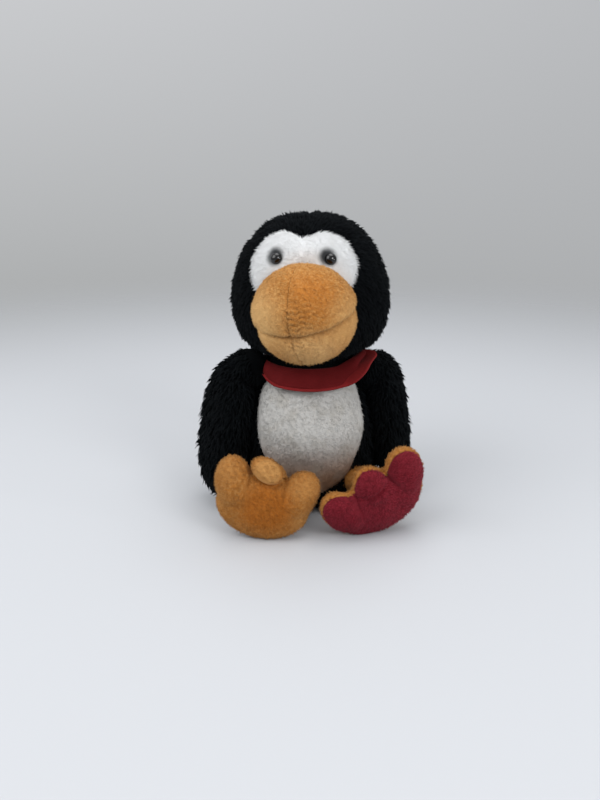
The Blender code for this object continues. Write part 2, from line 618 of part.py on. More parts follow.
# ---------------------------------------------------------------- the whole toy
def main():
    clear_scene()
    make_torso(group("torso"))
    neck = group("neck", (0, 0, NECK_BALL_Z), HEAD_TURN)
    ball("neck_stuffing", (0, 0, NECK_BALL_Z), [NECK_BALL_R] * 3, FIBREFILL, neck)
    head = group("head", (0, 0, NECK_BALL_Z), HEAD_TURN)
    make_head(head)
    make_beak(head)
    for name, spec in WINGS.items():
        x, y, z = spec["pivot"]
        make_wing(name, group(f"wing_{name}", (x * spec["side"], y, z)))
    for name, sole in (("left", RASPBERRY_PLUSH), ("right", ORANGE_PLUSH)):
        make_foot(name, sole, group(f"foot_{name}", FEET[name]["pivot"], FEET[name]["turn"]))
    make_tail(group("tail", TAIL_PIVOT))
    make_kerchief(group("neckerchief", (0, 0, 110), KERCHIEF_TURN))


main()
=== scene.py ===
"""The looks of a sitting plush penguin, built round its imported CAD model.

The toy looks along -Y and sits on z = 0. Left and right are its own, so its left is +X. Shapes are
worked out in millimetres in the toy's own frame, whose Z axis is the neck's axis, and make_mesh()
turns them into metres at their place. The fur is real geometry: every tuft is a small closed spike.
"""

import json
import math

import bmesh
import bpy
import numpy as np
from mathutils import Matrix, Vector


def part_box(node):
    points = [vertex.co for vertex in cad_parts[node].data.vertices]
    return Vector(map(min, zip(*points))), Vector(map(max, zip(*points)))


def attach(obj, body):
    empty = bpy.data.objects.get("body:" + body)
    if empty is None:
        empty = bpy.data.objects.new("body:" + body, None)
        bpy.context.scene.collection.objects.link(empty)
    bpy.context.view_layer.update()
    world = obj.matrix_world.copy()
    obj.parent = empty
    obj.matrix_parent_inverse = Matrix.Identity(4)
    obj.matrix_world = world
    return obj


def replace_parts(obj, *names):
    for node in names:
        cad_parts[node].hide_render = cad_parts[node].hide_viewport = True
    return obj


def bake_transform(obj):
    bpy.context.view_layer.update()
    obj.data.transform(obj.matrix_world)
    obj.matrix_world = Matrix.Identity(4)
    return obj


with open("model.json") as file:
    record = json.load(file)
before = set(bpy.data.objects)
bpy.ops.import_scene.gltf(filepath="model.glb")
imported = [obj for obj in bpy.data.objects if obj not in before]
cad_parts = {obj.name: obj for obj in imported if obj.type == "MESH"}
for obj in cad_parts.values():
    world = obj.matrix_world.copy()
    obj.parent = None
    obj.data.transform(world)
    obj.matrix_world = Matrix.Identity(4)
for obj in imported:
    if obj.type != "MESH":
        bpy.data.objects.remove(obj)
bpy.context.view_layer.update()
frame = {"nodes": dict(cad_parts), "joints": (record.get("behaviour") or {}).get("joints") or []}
JOINTS = {joint["name"]: joint for joint in frame["joints"]}

MM = 0.001
ORIGIN = np.array(JOINTS["neck_turn"]["pos_m"]) * (1, 1, 0)
SIDES = {"left": 1, "right": -1}


def pivot_of(joint):
    """A joint's pivot in the toy's frame, in mm."""
    return (np.array(JOINTS[joint]["pos_m"]) - ORIGIN) / MM


# ---------------------------------------------------------------- sizes, in mm
PILE = 0.6               # how far a skin stands inside the CAD surface, as room for its nap
FABRIC = 1.6             # thickness of the modelled fabric skins

# Torso sections: height, half width, half depth, y of the centre.
TORSO = np.array([
    (0, 34, 31, -3), (3, 41, 38.5, -3), (8, 46, 43.5, -3), (14, 49, 46, -3), (19, 51, 47.5, -3),
    (30, 53.5, 49.5, -3.5), (44, 55, 52, -4.5), (57, 54.8, 53.5, -5.5), (70, 53, 53, -6),
    (80, 50, 49.5, -5.5), (90, 46, 45, -4), (99, 41, 40, -2.5), (105, 36, 35, -1.5), (109, 31, 30, -1),
])
TORSO_CENTRE = (0, -3, 55)
# Half width of the white belly panel over height.
BELLY = np.array([(14, 0), (19, 11), (30, 27), (44, 35), (57, 40), (70, 42.4), (80, 42), (90, 40),
                  (99, 37), (105, 33.5), (109, 29)])

# Head sections: height and half width; the depth is a share of the width, and is centred on HEAD_Y.
HEAD = np.array([(118, 0), (119.2, 27), (121.6, 37), (125, 45.5), (131, 53), (143, 59.5), (155, 62.2),
                 (166, 62.6), (180, 60.6), (192, 56.4), (203, 51), (212, 44.5), (221.5, 34),
                 (227, 21), (230, 0)])
HEAD_DEPTH, HEAD_Y = 0.9, 1
HEAD_CENTRE = np.array((0, 1, 172))
HEAD_TURN = -8.5         # degrees
FACE_POLE = (0, 190)     # x and z of the place on the face that its lattice runs round
ARC = 50                 # length on head and torso for each radian, near enough
FACE_ARC = 52            # the same near the face
# Right half of the white mask's outline, x and z, from the notch between the brows down to the beak.
MASK = [(0, 213), (8, 215.8), (16, 217), (29, 212), (35.5, 204), (38.8, 197), (39, 190), (35.5, 179),
        (27, 168), (14, 160), (0, 157)]
# x and z of each eye, seen from straight ahead.
EYES = {"left": (20.8, 198.9), "right": (-18.9, 198.9)}
EYE_R = 4.6

BEAK_CENTRE = np.array((5.6, -66, 163.4))
BEAK_RADII = np.array((37, 34.5, 34.6))
BEAK_SEAMS = (-10, -19, 5)  # how the crossing of its seams is turned, lifted and rolled, in degrees

# How each foot is turned, leant and rolled, in degrees, and where its palm is from its joint.
FEET = {
    "left": dict(joint="foot_left_tilt", turn=17, palm=(4, -34, 10.4), lean=10, roll=-31),
    "right": dict(joint="foot_right_tilt", turn=0, palm=(-1.5, -31, 11.7), lean=-7, roll=13),
}
FOOT_SEAM = {"left": 2.5, "right": 0.0}  # how far in front of a foot's middle its two panels meet
PALM_RISE = 14           # how far a palm's middle is above its foot's origin

# The plush over each shoulder: its centre and its radii.
SHOULDERS = {"left": ((50, -5, 106.5), (15.5, 18, 15)), "right": ((-48, -10, 109.5), (17, 18, 15.5))}
LEG_R = 9.2              # a leg's radius where it meets the foot
# Each leg's middle line, from inside the torso to inside the foot.
LEGS = {"left": [(29, -29, 26), (38, -43, 28), (46, -57, 31), (52, -68, 33)],
        "right": [(-30, -30, 23), (-33, -45, 23.5), (-34.5, -60, 24.5), (-34.5, -72, 25.5)]}

# How orange pile stands, as tufts() takes it.
ORANGE_PILE = dict(stand=0.6, ruffle=0.5, clump=3.5, segments=1, bend=0.35, soft=0.4)
WAVES_PER_RIB = 0.314    # a wave texture's scale for one rib in each metre


# ---------------------------------------------------------------- numbers and curves
def smooth_curve(points, spans=10, closed=False, mirrored=False):
    """A Catmull-Rom curve through the points, with this many steps between each two.

    It is closed, or it runs on past both ends as if mirrored there in its second coordinate, or straight.
    """
    points = np.asarray(points, float)
    if closed:
        points = np.concatenate([points[-1:], points, points[:2]])
    else:
        first, last = 2 * points[0] - points[1], 2 * points[-1] - points[-2]
        if mirrored:
            first, last = points[1] * (1, -1), points[-2] * (1, -1)
        points = np.concatenate([[first], points, [last]])
    t = np.linspace(0, 1, spans, endpoint=False)[:, None]
    pieces = []
    for a, b, c, d in zip(points, points[1:], points[2:], points[3:]):
        pieces.append(0.5 * (2 * b + (c - a) * t + (2 * a - 5 * b + 4 * c - d) * t ** 2
                             + (3 * b - a - 3 * c + d) * t ** 3))
    return np.concatenate([*pieces, points[-2:-1]])


def swell(points, size, seed, waves=9):
    """Smooth unevenness between about -1 and 1, from plane waves of about one size."""
    rng = np.random.default_rng(seed)
    directions = rng.normal(size=(waves, 3))
    directions *= 2 * math.pi / size / np.linalg.norm(directions, axis=1, keepdims=True)
    phases = rng.uniform(0, 2 * math.pi, waves)
    return np.sin(points @ directions.T + phases).sum(-1) / math.sqrt(waves)


def bump(distance, width):
    """A bell curve of a distance: 1 at zero, near 0 past twice the width."""
    return np.exp(-(np.asarray(distance) / width) ** 2)


def plateau(distance, width):
    """A bell curve with a flat top and steeper sides: it is near 0 past one and a half widths."""
    return bump(np.asarray(distance) ** 2, np.asarray(width) ** 2)


def ball(rows, columns):
    """A unit ball as a lattice, from its lower pole to its upper one."""
    rise = np.linspace(-math.pi / 2, math.pi / 2, rows)[:, None]
    turn = np.arange(columns)[None, :] * 2 * math.pi / columns
    level = np.cos(rise)
    return np.stack(np.broadcast_arrays(level * np.cos(turn), level * np.sin(turn), np.sin(rise)), -1)


def unit(vectors):
    vectors = np.asarray(vectors, float)
    return vectors / np.maximum(np.linalg.norm(vectors, axis=-1, keepdims=True), 1e-9)


def turned(points, degrees, pivot=(0, 0, 0)):
    """Points turned about a vertical line."""
    angle = math.radians(degrees)
    cosine, sine = math.cos(angle), math.sin(angle)
    turn = np.array([(cosine, -sine, 0), (sine, cosine, 0), (0, 0, 1)])
    return (np.asarray(points, float) - pivot) @ turn.T + pivot


def sunk(points, centre, depth):
    """Points moved straight towards a centre; the depth may differ from point to point."""
    away = np.asarray(points, float) - np.asarray(centre, float)
    depth = np.broadcast_to(np.asarray(depth, float), away.shape[:-1])
    return np.asarray(centre, float) + away * (1 - depth / np.linalg.norm(away, axis=-1))[..., None]


def reach(centre, directions, inside, far=120):
    """How far each ray from the centre stays inside a shape."""
    low = np.zeros(directions.shape[:-1])
    high = np.full(directions.shape[:-1], float(far))
    for _ in range(26):
        middle = (low + high) / 2
        held = inside(np.asarray(centre) + directions * middle[..., None])
        low = np.where(held, middle, low)
        high = np.where(held, high, middle)
    return low


# ---------------------------------------------------------------- materials
def add_node(tree, kind, inputs, **settings):
    """A new shader node. Each input is a value or another node's output."""
    made = tree.nodes.new(kind)
    for setting, value in settings.items():
        setattr(made, setting, value)
    for socket, value in inputs.items():
        if isinstance(value, bpy.types.NodeSocket):
            tree.links.new(value, made.inputs[socket])
        else:
            made.inputs[socket].default_value = value
    return made


class Paint:
    """A material whose colour is laid on in layers, over the object's own coordinates in metres."""

    def __init__(self, name, roughness, colour, sheen=0.0, sheen_tint=(1, 1, 1), specular=0.5):
        self.material = bpy.data.materials.new(name)
        self.material.use_nodes = True
        self.nodes, self.links = self.material.node_tree.nodes, self.material.node_tree.links
        self.shader = self.nodes["Principled BSDF"]
        settings = {"Roughness": roughness, "Sheen Weight": sheen, "Sheen Roughness": 0.45,
                    "Sheen Tint": (*sheen_tint, 1), "Specular IOR Level": specular}
        for socket, value in settings.items():
            self.shader.inputs[socket].default_value = value
        self.place = self.nodes.new("ShaderNodeTexCoord").outputs["Object"]
        self.colour = (*colour, 1)

    def node(self, kind, inputs, **settings):
        return add_node(self.material.node_tree, kind, inputs, **settings)

    def noise(self, size_mm, detail=2.0):
        inputs = {"Vector": self.place, "Scale": 1 / (size_mm * MM), "Detail": detail}
        return self.node("ShaderNodeTexNoise", inputs).outputs["Fac"]

    def ramp(self, value, low, high):
        """The value rescaled smoothly so that low gives 0 and high gives 1."""
        inputs = {"Value": value, "From Min": low, "From Max": high}
        return self.node("ShaderNodeMapRange", inputs, interpolation_type="SMOOTHSTEP").outputs["Result"]

    def axis(self, axis, low_mm, high_mm):
        """0 to 1 along a world axis at rest, between two places in mm."""
        split = self.node("ShaderNodeSeparateXYZ", {"Vector": self.place})
        return self.ramp(split.outputs[axis], low_mm * MM, high_mm * MM)

    def near(self, place, inner_mm, outer_mm):
        """1 within the inner distance of a place in metres, 0 beyond the outer one."""
        away = self.node("ShaderNodeVectorMath", {0: self.place, 1: tuple(place)}, operation="DISTANCE")
        return self.ramp(away.outputs["Value"], outer_mm * MM, inner_mm * MM)

    def attribute(self, name):
        return self.node("ShaderNodeAttribute", {}, attribute_name=name).outputs["Fac"]

    def times(self, first, second):
        return self.node("ShaderNodeMath", {0: first, 1: second}, operation="MULTIPLY").outputs["Value"]

    def mix(self, mask, colour, share=1.0):
        """Lays a colour over what is there already, as far as the mask and the share say."""
        factor = mask if share == 1 else self.times(mask, share)
        inputs = {"Factor": factor, 6: self.colour, 7: (*colour, 1)}
        self.colour = self.node("ShaderNodeMix", inputs, data_type="RGBA").outputs[2]

    def mottle(self, size_mm, detail, low, high, colour, share):
        """Lays a colour on in patches of a size."""
        self.mix(self.ramp(self.noise(size_mm, detail), low, high), colour, share)

    def raise_by(self, height, distance_mm, strength=1.0):
        """Adds a bump from a height."""
        inputs = {"Distance": distance_mm * MM, "Strength": strength, "Height": height}
        normal = self.shader.inputs["Normal"]
        if normal.links:
            inputs["Normal"] = normal.links[0].from_socket
        self.links.new(self.node("ShaderNodeBump", inputs).outputs["Normal"], normal)

    def done(self):
        if isinstance(self.colour, tuple):
            self.shader.inputs["Base Color"].default_value = self.colour
        else:
            self.links.new(self.colour, self.shader.inputs["Base Color"])
        return self.material


def place_m(point_mm, turn=0):
    """A point of the toy's frame in world metres."""
    return turned(np.array(point_mm, float), turn) * MM + ORIGIN


def face_spot(x, z, out=0):
    """A place in front of the head's surface, in world metres."""
    return place_m(face_point(x, z) - (0, out, 0), HEAD_TURN)


def beak_spot(*offset):
    """A place given from the middle of the beak, in world metres."""
    return place_m(BEAK_CENTRE + offset, HEAD_TURN)


def black_plush():
    paint = Paint("black_plush", 0.95, (0.0010, 0.0013, 0.0017), 0.012, (0.75, 0.85, 0.95), 0.05)
    # Tufts are darker towards the root, and the skin under them is as dark as the roots: painted shade
    # where the pile shades itself.
    paint.mix(paint.attribute("tip"), (0.0045, 0.0058, 0.0068), 0.8)
    paint.mottle(9, 2, 0.45, 0.75, (0.0055, 0.0070, 0.0082), 0.3)
    paint.raise_by(paint.noise(1.6, 2), 0.2, 0.6)
    return paint.done()


def white_plush():
    paint = Paint("white_plush", 0.9, (0.66, 0.67, 0.675), sheen=0.08, specular=0.12)
    # Tufts are darker towards the root, and the skin under them is as dark as the roots: painted shade
    # where the pile shades itself.
    paint.mix(paint.attribute("tip"), (0.72, 0.73, 0.735))
    paint.mottle(3.2, 3, 0.42, 0.66, (0.61, 0.61, 0.60), 0.25)
    # The lower face has painted warm light, reflected from the beak.
    paint.mix(paint.near(beak_spot(0, 0, 0), 37, 50), (0.62, 0.45, 0.33), 0.22)
    # The belly is greyer than the face, partly its own tone and partly painted shade under the head.
    belly = paint.axis("Z", 118, 112)
    paint.mix(belly, (0.31, 0.292, 0.258), 0.60)
    # Browner low down near the feet: painted shade and warm light reflected from the feet, with some dirt.
    paint.mix(paint.times(paint.axis("Z", 66, 28), belly), (0.26, 0.132, 0.062), 0.9)
    paint.mix(paint.times(belly, paint.ramp(paint.noise(13, 3), 0.45, 0.68)), (0.31, 0.285, 0.24), 0.35)
    for x, z in EYES.values():
        paint.mix(paint.near(face_spot(x - 1.6, z + 2.0, 2), 4.4, 9.2), (0.014, 0.016, 0.019), 0.95)
    paint.raise_by(paint.noise(2.4, 4), 0.45, 0.6)
    return paint.done()


def orange_plush():
    paint = Paint("orange_plush", 0.9, (0.41, 0.172, 0.038), 0.10, (1.0, 0.78, 0.5), 0.1)
    # Tufts are darker towards the root, and the skin under them is as dark as the roots: painted shade
    # where the pile shades itself. The paler tips also stand for worn pile.
    paint.mix(paint.attribute("tip"), (0.64, 0.345, 0.122), 0.8)
    paint.mottle(14, 3, 0.38, 0.68, (0.45, 0.225, 0.068), 0.4)
    paint.mottle(2.6, 4, 0.46, 0.62, (0.29, 0.110, 0.022), 0.55)
    paint.mottle(1.9, 4, 0.50, 0.66, (0.62, 0.36, 0.13), 0.5)
    # The feet are a browner orange than the beak, partly painted shade on the low feet, and browner still
    # in the middle of the bare sole, painted shade in its hollow.
    paint.mix(paint.axis("Z", 112, 104), (0.290, 0.105, 0.018), 0.5)
    # Painted highlights where the toes and the foot's sides round off.
    toe_and_side_highlights = [foot_spot("right", (x, y, 6)) for x, y in ((-30, 24), (26, 24), (-33, 2), (33, 0))]
    spots = [
        (foot_spot("right", (3, 4, 9)), 10, 26, 0.75, (0.330, 0.098, 0.010)),
        *((spot, 4, 14, 0.35, (0.46, 0.235, 0.075)) for spot in toe_and_side_highlights),
        (foot_spot("right", (-2.5, 31, 12)), 8, 12, 0.75, (0.52, 0.275, 0.092)),
        # The beak is a deeper orange high up, and paler at its sides and along its lower edge: painted
        # sheen where it curves away.
        (beak_spot(8, -28, 18), 4, 26, 0.55, (0.44, 0.150, 0.022)),
        (beak_spot(-30, -20, -4), 8, 32, 0.75, (0.70, 0.44, 0.185)),
        (beak_spot(32, -14, -2), 6, 26, 0.5, (0.60, 0.36, 0.145)),
        (beak_spot(8, -24, -26), 8, 30, 0.7, (0.62, 0.385, 0.165)),
    ]
    for place, inner, outer, share, colour in spots:
        paint.mix(paint.near(place, inner, outer), colour, share)
    paint.raise_by(paint.noise(2.2, 4), 0.6, 0.8)
    return paint.done()


def raspberry_plush():
    paint = Paint("raspberry_plush", 0.9, (0.140, 0.0095, 0.0160), 0.07, (1.0, 0.55, 0.6), 0.08)
    # Tufts are darker towards the root, and the skin under them is as dark as the roots: painted shade
    # where the pile shades itself.
    paint.mix(paint.attribute("tip"), (0.360, 0.0370, 0.0570), 0.85)
    paint.mottle(8, 3, 0.4, 0.7, (0.170, 0.018, 0.027), 0.4)
    paint.mottle(2.2, 4, 0.46, 0.66, (0.075, 0.005, 0.009), 0.5)
    paint.raise_by(paint.noise(2.2, 4), 0.6, 0.8)
    return paint.done()


def red_cloth():
    paint = Paint("red_cloth", 0.85, (0.098, 0.0058, 0.0066), 0.03, (1.0, 0.5, 0.45), 0.08)
    paint.mottle(11, 3, 0.4, 0.7, (0.120, 0.0080, 0.0090), 0.4)
    paint.mix(paint.attribute("hem"), (0.200, 0.0150, 0.0155), 0.85)
    # Knitted cloth: fine ribs one way crossed by finer ones.
    for turn, rib_mm, height in ((0, 0.75, 0.10), (90, 0.9, 0.07)):
        inputs = {"Vector": paint.place, "Rotation": (0, math.radians(turn), 0)}
        mapped = paint.node("ShaderNodeMapping", inputs).outputs["Vector"]
        inputs = {"Vector": mapped, "Scale": WAVES_PER_RIB / (rib_mm * MM), "Distortion": 1.2,
                  "Detail Scale": 2}
        paint.raise_by(paint.node("ShaderNodeTexWave", inputs).outputs["Fac"], height, 0.8)
    return paint.done()


def eye_plastic():
    return Paint("eye_plastic", 0.05, (0.0010, 0.0011, 0.0014), specular=0.55).done()


def plain(name, colour, darker, roughness, size_mm):
    """Hidden stuff: fibre, pellet bag and washers."""
    paint = Paint(name, roughness, colour)
    paint.mottle(size_mm, 4, 0.4, 0.7, darker, 1)
    paint.raise_by(paint.noise(size_mm / 2, 4), size_mm / 6)
    return paint.done()


# ---------------------------------------------------------------- meshes
def add_object(name, data):
    """A new object in the scene."""
    made = bpy.data.objects.new(name, data)
    bpy.context.scene.collection.objects.link(made)
    return made


def make_mesh(name, points, faces, body, finish, on_floor=True):
    """One piece from points in the toy's frame in mm. finish is a key of FINISHES."""
    mesh = bpy.data.meshes.new(name)
    points = np.asarray(points, float).reshape(-1, 3)
    if on_floor:
        # Cover and pile are pressed flat where they would meet the floor.
        points = points * (1, 1, 0) + np.maximum(points, 0) * (0, 0, 1)
    points = points * MM + ORIGIN
    mesh.from_pydata(points.tolist(), [], [list(map(int, face)) for face in faces])
    mesh.polygons.foreach_set("use_smooth", [True] * len(mesh.polygons))
    mesh.materials.append(FINISHES[finish])
    made = add_object(name, mesh)
    if body:
        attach(made, body)
    return made


def lattice_faces(rows, columns, wrap, start=0):
    """Quads over points stored row by row from a start; wrap joins the last column to the first."""
    row_starts = start + np.arange(rows - 1)[:, None] * columns
    across = np.arange(columns if wrap else columns - 1)
    here, beside = row_starts + across, row_starts + (across + 1) % columns
    return np.stack([here, beside, beside + columns, here + columns], -1).reshape(-1, 4)


def border(rows, columns, wrap):
    """The point numbers round the edge of a lattice, as closed chains."""
    numbers = np.arange(rows * columns).reshape(rows, columns)
    if wrap:
        return [np.append(numbers[k], numbers[k][0]) for k in (0, -1)]
    ring = np.concatenate([numbers[0, :-1], numbers[:-1, -1], numbers[-1, :0:-1], numbers[:0:-1, 0]])
    return [np.append(ring, ring[0])]


class Skin:
    """A fabric panel's outer surface as a lattice, kept so that fur can be rooted on it."""

    def __init__(self, points, outward, wrap=False):
        self.points = np.asarray(points, float)
        self.rows, self.columns = self.points.shape[:2]
        self.wrap = wrap
        self.faces = lattice_faces(self.rows, self.columns, wrap)
        flat = self.points.reshape(-1, 3)
        a, b, c, d = (flat[self.faces[:, k]] for k in range(4))
        normals = np.cross(c - a, d - b)
        self.area = np.linalg.norm(normals, axis=1).sum() / 2
        if ((a + b + c + d) / 4 - outward).ravel() @ normals.ravel() < 0:
            self.faces = self.faces[:, ::-1]
            normals = -normals
        summed = np.zeros_like(flat)
        for k in range(4):
            np.add.at(summed, self.faces[:, k], normals)
        self.normals = unit(summed)

    def solid(self, name, body, finish, depth=FABRIC):
        """The panel as a closed thin solid."""
        flat = self.points.reshape(-1, 3)
        count = len(flat)
        faces = [*self.faces, *(self.faces[:, ::-1] + count)]
        for number, chain in enumerate(border(self.rows, self.columns, self.wrap)):
            order = -1 if self.wrap and number else 1
            for first, second in zip(chain[:-1], chain[1:]):
                faces.append((second, first, first + count, second + count)[::order])
        made = make_mesh(name, np.concatenate([flat, flat - self.normals * depth]), faces, body, finish)
        tidy_solid(made)
        return made

    def panel(self, name, body, finish, node, padding, depth=FABRIC):
        """The panel as a solid in a CAD node's place."""
        made = self.solid(name, body, finish, depth)
        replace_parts(made, node)
        return made

    def flat_size(self):
        rows = np.concatenate([self.points, self.points[:, :1]], axis=1) if self.wrap else self.points
        down, across = (np.linalg.norm(np.diff(rows, axis=k), axis=2).sum(k) for k in (0, 1))
        longest = across[-1] if self.wrap else across.max()
        return dict(flat=tuple(sorted((down.max() * MM, longest * MM))), area=self.area * MM * MM)


def tidy_solid(piece, merge=True):
    """Drops loose points, merges points that coincide, as at a pole, and turns all faces outward."""
    work = bmesh.new()
    work.from_mesh(piece.data)
    loose = [point for point in work.verts if not point.link_faces]
    bmesh.ops.delete(work, geom=loose, context="VERTS")
    if merge:
        bmesh.ops.remove_doubles(work, verts=work.verts, dist=2e-6)
    bmesh.ops.recalc_face_normals(work, faces=work.faces)
    work.to_mesh(piece.data)
    work.free()


def lump(name, rows, body, finish):
    """A closed piece from a lattice that wraps round and shrinks to a pole at both ends."""
    made = make_mesh(name, rows, lattice_faces(*rows.shape[:2], True), body, finish)
    tidy_solid(made)
    return made


def read(elements, attribute, kind=np.float32):
    """A three-part attribute of a mesh's elements, as an array."""
    values = np.empty(len(elements) * 3, kind)
    elements.foreach_get(attribute, values)
    return values.reshape(-1, 3)


def blend_all(pieces):
    """Moves each piece's placing into its mesh, which then stands at the world's origin."""
    for piece in pieces:
        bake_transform(piece)


class Coat:
    """Roots for tufts, spread evenly over triangles: places, and the normals there, in mm."""

    def __init__(self, corners, normals, spacing, seed):
        self.rng = rng = np.random.default_rng(seed)
        crossed = np.cross(corners[:, 1] - corners[:, 0], corners[:, 2] - corners[:, 0])
        areas = np.linalg.norm(crossed, axis=1) / 2
        count = int(areas.sum() / spacing ** 2)
        along = (np.arange(count) + rng.uniform(size=count)) / count * areas.sum()
        picked = np.minimum(np.searchsorted(np.cumsum(areas), along), len(areas) - 1)
        u, v = rng.uniform(size=(2, count))
        over = u + v > 1
        u, v = np.where(over, 1 - u, u), np.where(over, 1 - v, v)
        share = np.stack([1 - u - v, u, v], -1)[..., None]
        self.roots = (corners[picked] * share).sum(1)
        self.normals = unit((normals[picked] * share).sum(1))

    def keep(self, wanted):
        self.roots, self.normals = self.roots[wanted], self.normals[wanted]


def coat_of_skins(skins, spacing, seed):
    corners, normals = [], []
    for skin in skins:
        for order in ((0, 1, 2), (0, 2, 3)):
            corners.append(skin.points.reshape(-1, 3)[skin.faces[:, order]])
            normals.append(skin.normals[skin.faces[:, order]])
    return Coat(np.concatenate(corners), np.concatenate(normals), spacing, seed)


def coat_of_piece(piece, spacing, seed, centre):
    """Roots on a finished piece's outer faces: those that look away from a centre, so not its lining."""
    mesh = piece.data
    mesh.calc_loop_triangles()
    triangles = read(mesh.loop_triangles, "vertices", np.int32)
    corners = ((read(mesh.vertices, "co") - ORIGIN) / MM)[triangles]
    flat = unit(np.cross(corners[:, 1] - corners[:, 0], corners[:, 2] - corners[:, 0]))
    wanted = ((corners.mean(1) - centre) * flat).sum(-1) > 0.5
    return Coat(corners[wanted], read(mesh.vertex_normals, "vector")[triangles[wanted]], spacing, seed)


# By its number of segments: a tuft's faces over its points, and how far along it each point lies.
TUFT_FORMS = {
    1: ([(0, 1, 3), (1, 2, 3), (2, 0, 3), (2, 1, 0)], [0, 0, 0, 1]),
    2: ([(0, 1, 4), (0, 4, 3), (1, 2, 5), (1, 5, 4), (2, 0, 3), (2, 3, 5), (3, 4, 6), (4, 5, 6), (5, 3, 6),
         (2, 1, 0)], [0, 0, 0, 0.55, 0.55, 0.55, 1]),
}
TUFT_ANGLES = [math.radians(90 + 120 * k) for k in range(3)]


def tufts(name, coat, body, finish, length, width, lie, stand=0.5, ruffle=0.35, clump=6.0, bend=0.45,
          segments=2, droop=0.0, soft=0.0):
    """A coat of pointed closed tufts.

    length and width are in mm and may be arrays. lie(roots) gives the way the pile is brushed. stand is
    how far tufts stand up from the skin, ruffle how far they differ, clump the size over which
    neighbours lean alike, bend how far they curve over, and droop how far they sag. soft is how far
    tufts take the shading of the skin under them, as a dense short pile does.
    """
    roots, normals, rng = coat.roots, coat.normals, coat.rng
    count = len(roots)
    length = (np.broadcast_to(length, count) * rng.uniform(0.75, 1.2, count))[:, None]
    half = (np.broadcast_to(width, count) * rng.uniform(0.8, 1.15, count))[:, None] / 2
    flow = lie(roots)
    flow = unit(flow - normals * (flow * normals).sum(-1, keepdims=True))
    lean = 0.6 * np.stack([swell(roots, clump, 11 + k) for k in range(3)], -1)
    lean = lean + 0.45 * rng.normal(size=(count, 3))
    way = unit(normals * stand + flow * (1 - stand) + lean * ruffle)
    low = (way * normals).sum(-1, keepdims=True)
    way = unit(way + normals * np.maximum(0.12 - low, 0))
    side = unit(np.cross(way, normals + 0.01))
    top = np.cross(side, way)
    tip_way = unit(way * (1 - bend) + flow * bend - (0, 0, droop))

    def ring(centre, size):
        return [centre + size * (math.cos(a) * side - math.sin(a) * top * 0.8) for a in TUFT_ANGLES]

    start = roots - normals * 0.25
    parts = ring(start, half)
    if segments == 2:
        start = start + way * length * 0.5
        parts += ring(start, half * 0.8)
    parts.append(start + tip_way * length / segments)
    pattern, heights = TUFT_FORMS[segments]
    faces = (np.arange(count)[:, None, None] * len(parts) + np.array(pattern)[None]).reshape(-1, 3)
    made = make_mesh(name, np.stack(parts, 1), faces, body, finish)
    attribute = made.data.attributes.new("tip", "FLOAT", "POINT")
    attribute.data.foreach_set("value", np.tile(np.array(heights, np.float32), count))
    if soft:
        under = np.repeat(normals, len(parts), axis=0)
        shaded = unit(read(made.data.vertex_normals, "vector") * (1 - soft) + under * soft)
        made.data.normals_split_custom_set_from_vertices(shaded.tolist())
    return made


def towards(*direction):
    """A brushing direction that is the same everywhere."""
    return lambda roots: np.broadcast_to(np.array(direction, float), roots.shape)


# ---------------------------------------------------------------- the head's shape
HEAD_CURVE = smooth_curve(HEAD, 12, mirrored=True)
TORSO_CURVE = smooth_curve(TORSO, 10)
BELLY_CURVE = smooth_curve(BELLY, 10)


def head_half_width(z):
    return np.sqrt(np.interp(z, HEAD_CURVE[:, 0], np.maximum(HEAD_CURVE[:, 1], 0) ** 2, left=0, right=0))


def in_head(points, grow=0.0):
    x, y, z = np.moveaxis(points, -1, 0)
    width = head_half_width(z)
    return (x / (width + grow + 1e-9)) ** 2 + ((y - HEAD_Y) / (HEAD_DEPTH * width + grow + 1e-9)) ** 2 < 1


def face_point(x, z):
    """The point of the head's front surface at a place seen from straight ahead."""
    width = float(head_half_width(z))
    return np.array([x, HEAD_Y - HEAD_DEPTH * width * math.sqrt(1 - (x / width) ** 2), z])


def face_axes():
    """The direction of the face's pole from the head's centre, then across and up from it."""
    out = unit(face_point(*FACE_POLE) - HEAD_CENTRE)
    across = np.array([1.0, 0, 0])
    return out, across, -np.cross(across, out)


def face_angles(points):
    """The direction round the face's pole and the angle away from it, of points in the head's frame."""
    out, across, up = face_axes()
    rays = unit(points - HEAD_CENTRE)
    return np.arctan2(rays @ up, rays @ across), np.arccos(np.clip(rays @ out, -1, 1))


def mask_edge(columns):
    """The mask edge's angle from the face's pole, for each direction round it."""
    out, across, up = face_axes()
    outline = smooth_curve(MASK + [(-x, z) for x, z in MASK[-2:0:-1]], 8, closed=True)
    rays = unit([face_point(x, z) - HEAD_CENTRE for x, z in outline])
    tilt = np.arccos(rays @ out)
    round_ = np.arctan2(rays @ up, rays @ across)
    order = np.argsort(round_)
    return np.interp(columns, round_[order], tilt[order], period=2 * math.pi)


def polar_rows(centre, axes, tilts, columns, inside):
    """Surface points of a shape at tilts (rows) from a pole, in directions (columns) round it."""
    out, across, up = axes
    spread = np.cos(columns)[:, None] * across + np.sin(columns)[:, None] * up
    rays = np.cos(tilts)[..., None] * out + np.sin(tilts)[..., None] * spread
    return centre + rays * reach(centre, rays, inside)[..., None]


def head_relief(points):
    """How far the head's skin is pressed in at each point: eye sockets, and soft unevenness."""
    depth = PILE + 0.5 * swell(points, 34, 3) + 0.2 * swell(points, 12, 4)
    for x, z in EYES.values():
        away = np.linalg.norm(points - face_point(x, z), axis=-1)
        depth = depth + 1.8 * bump(away, 6.5)
    return depth


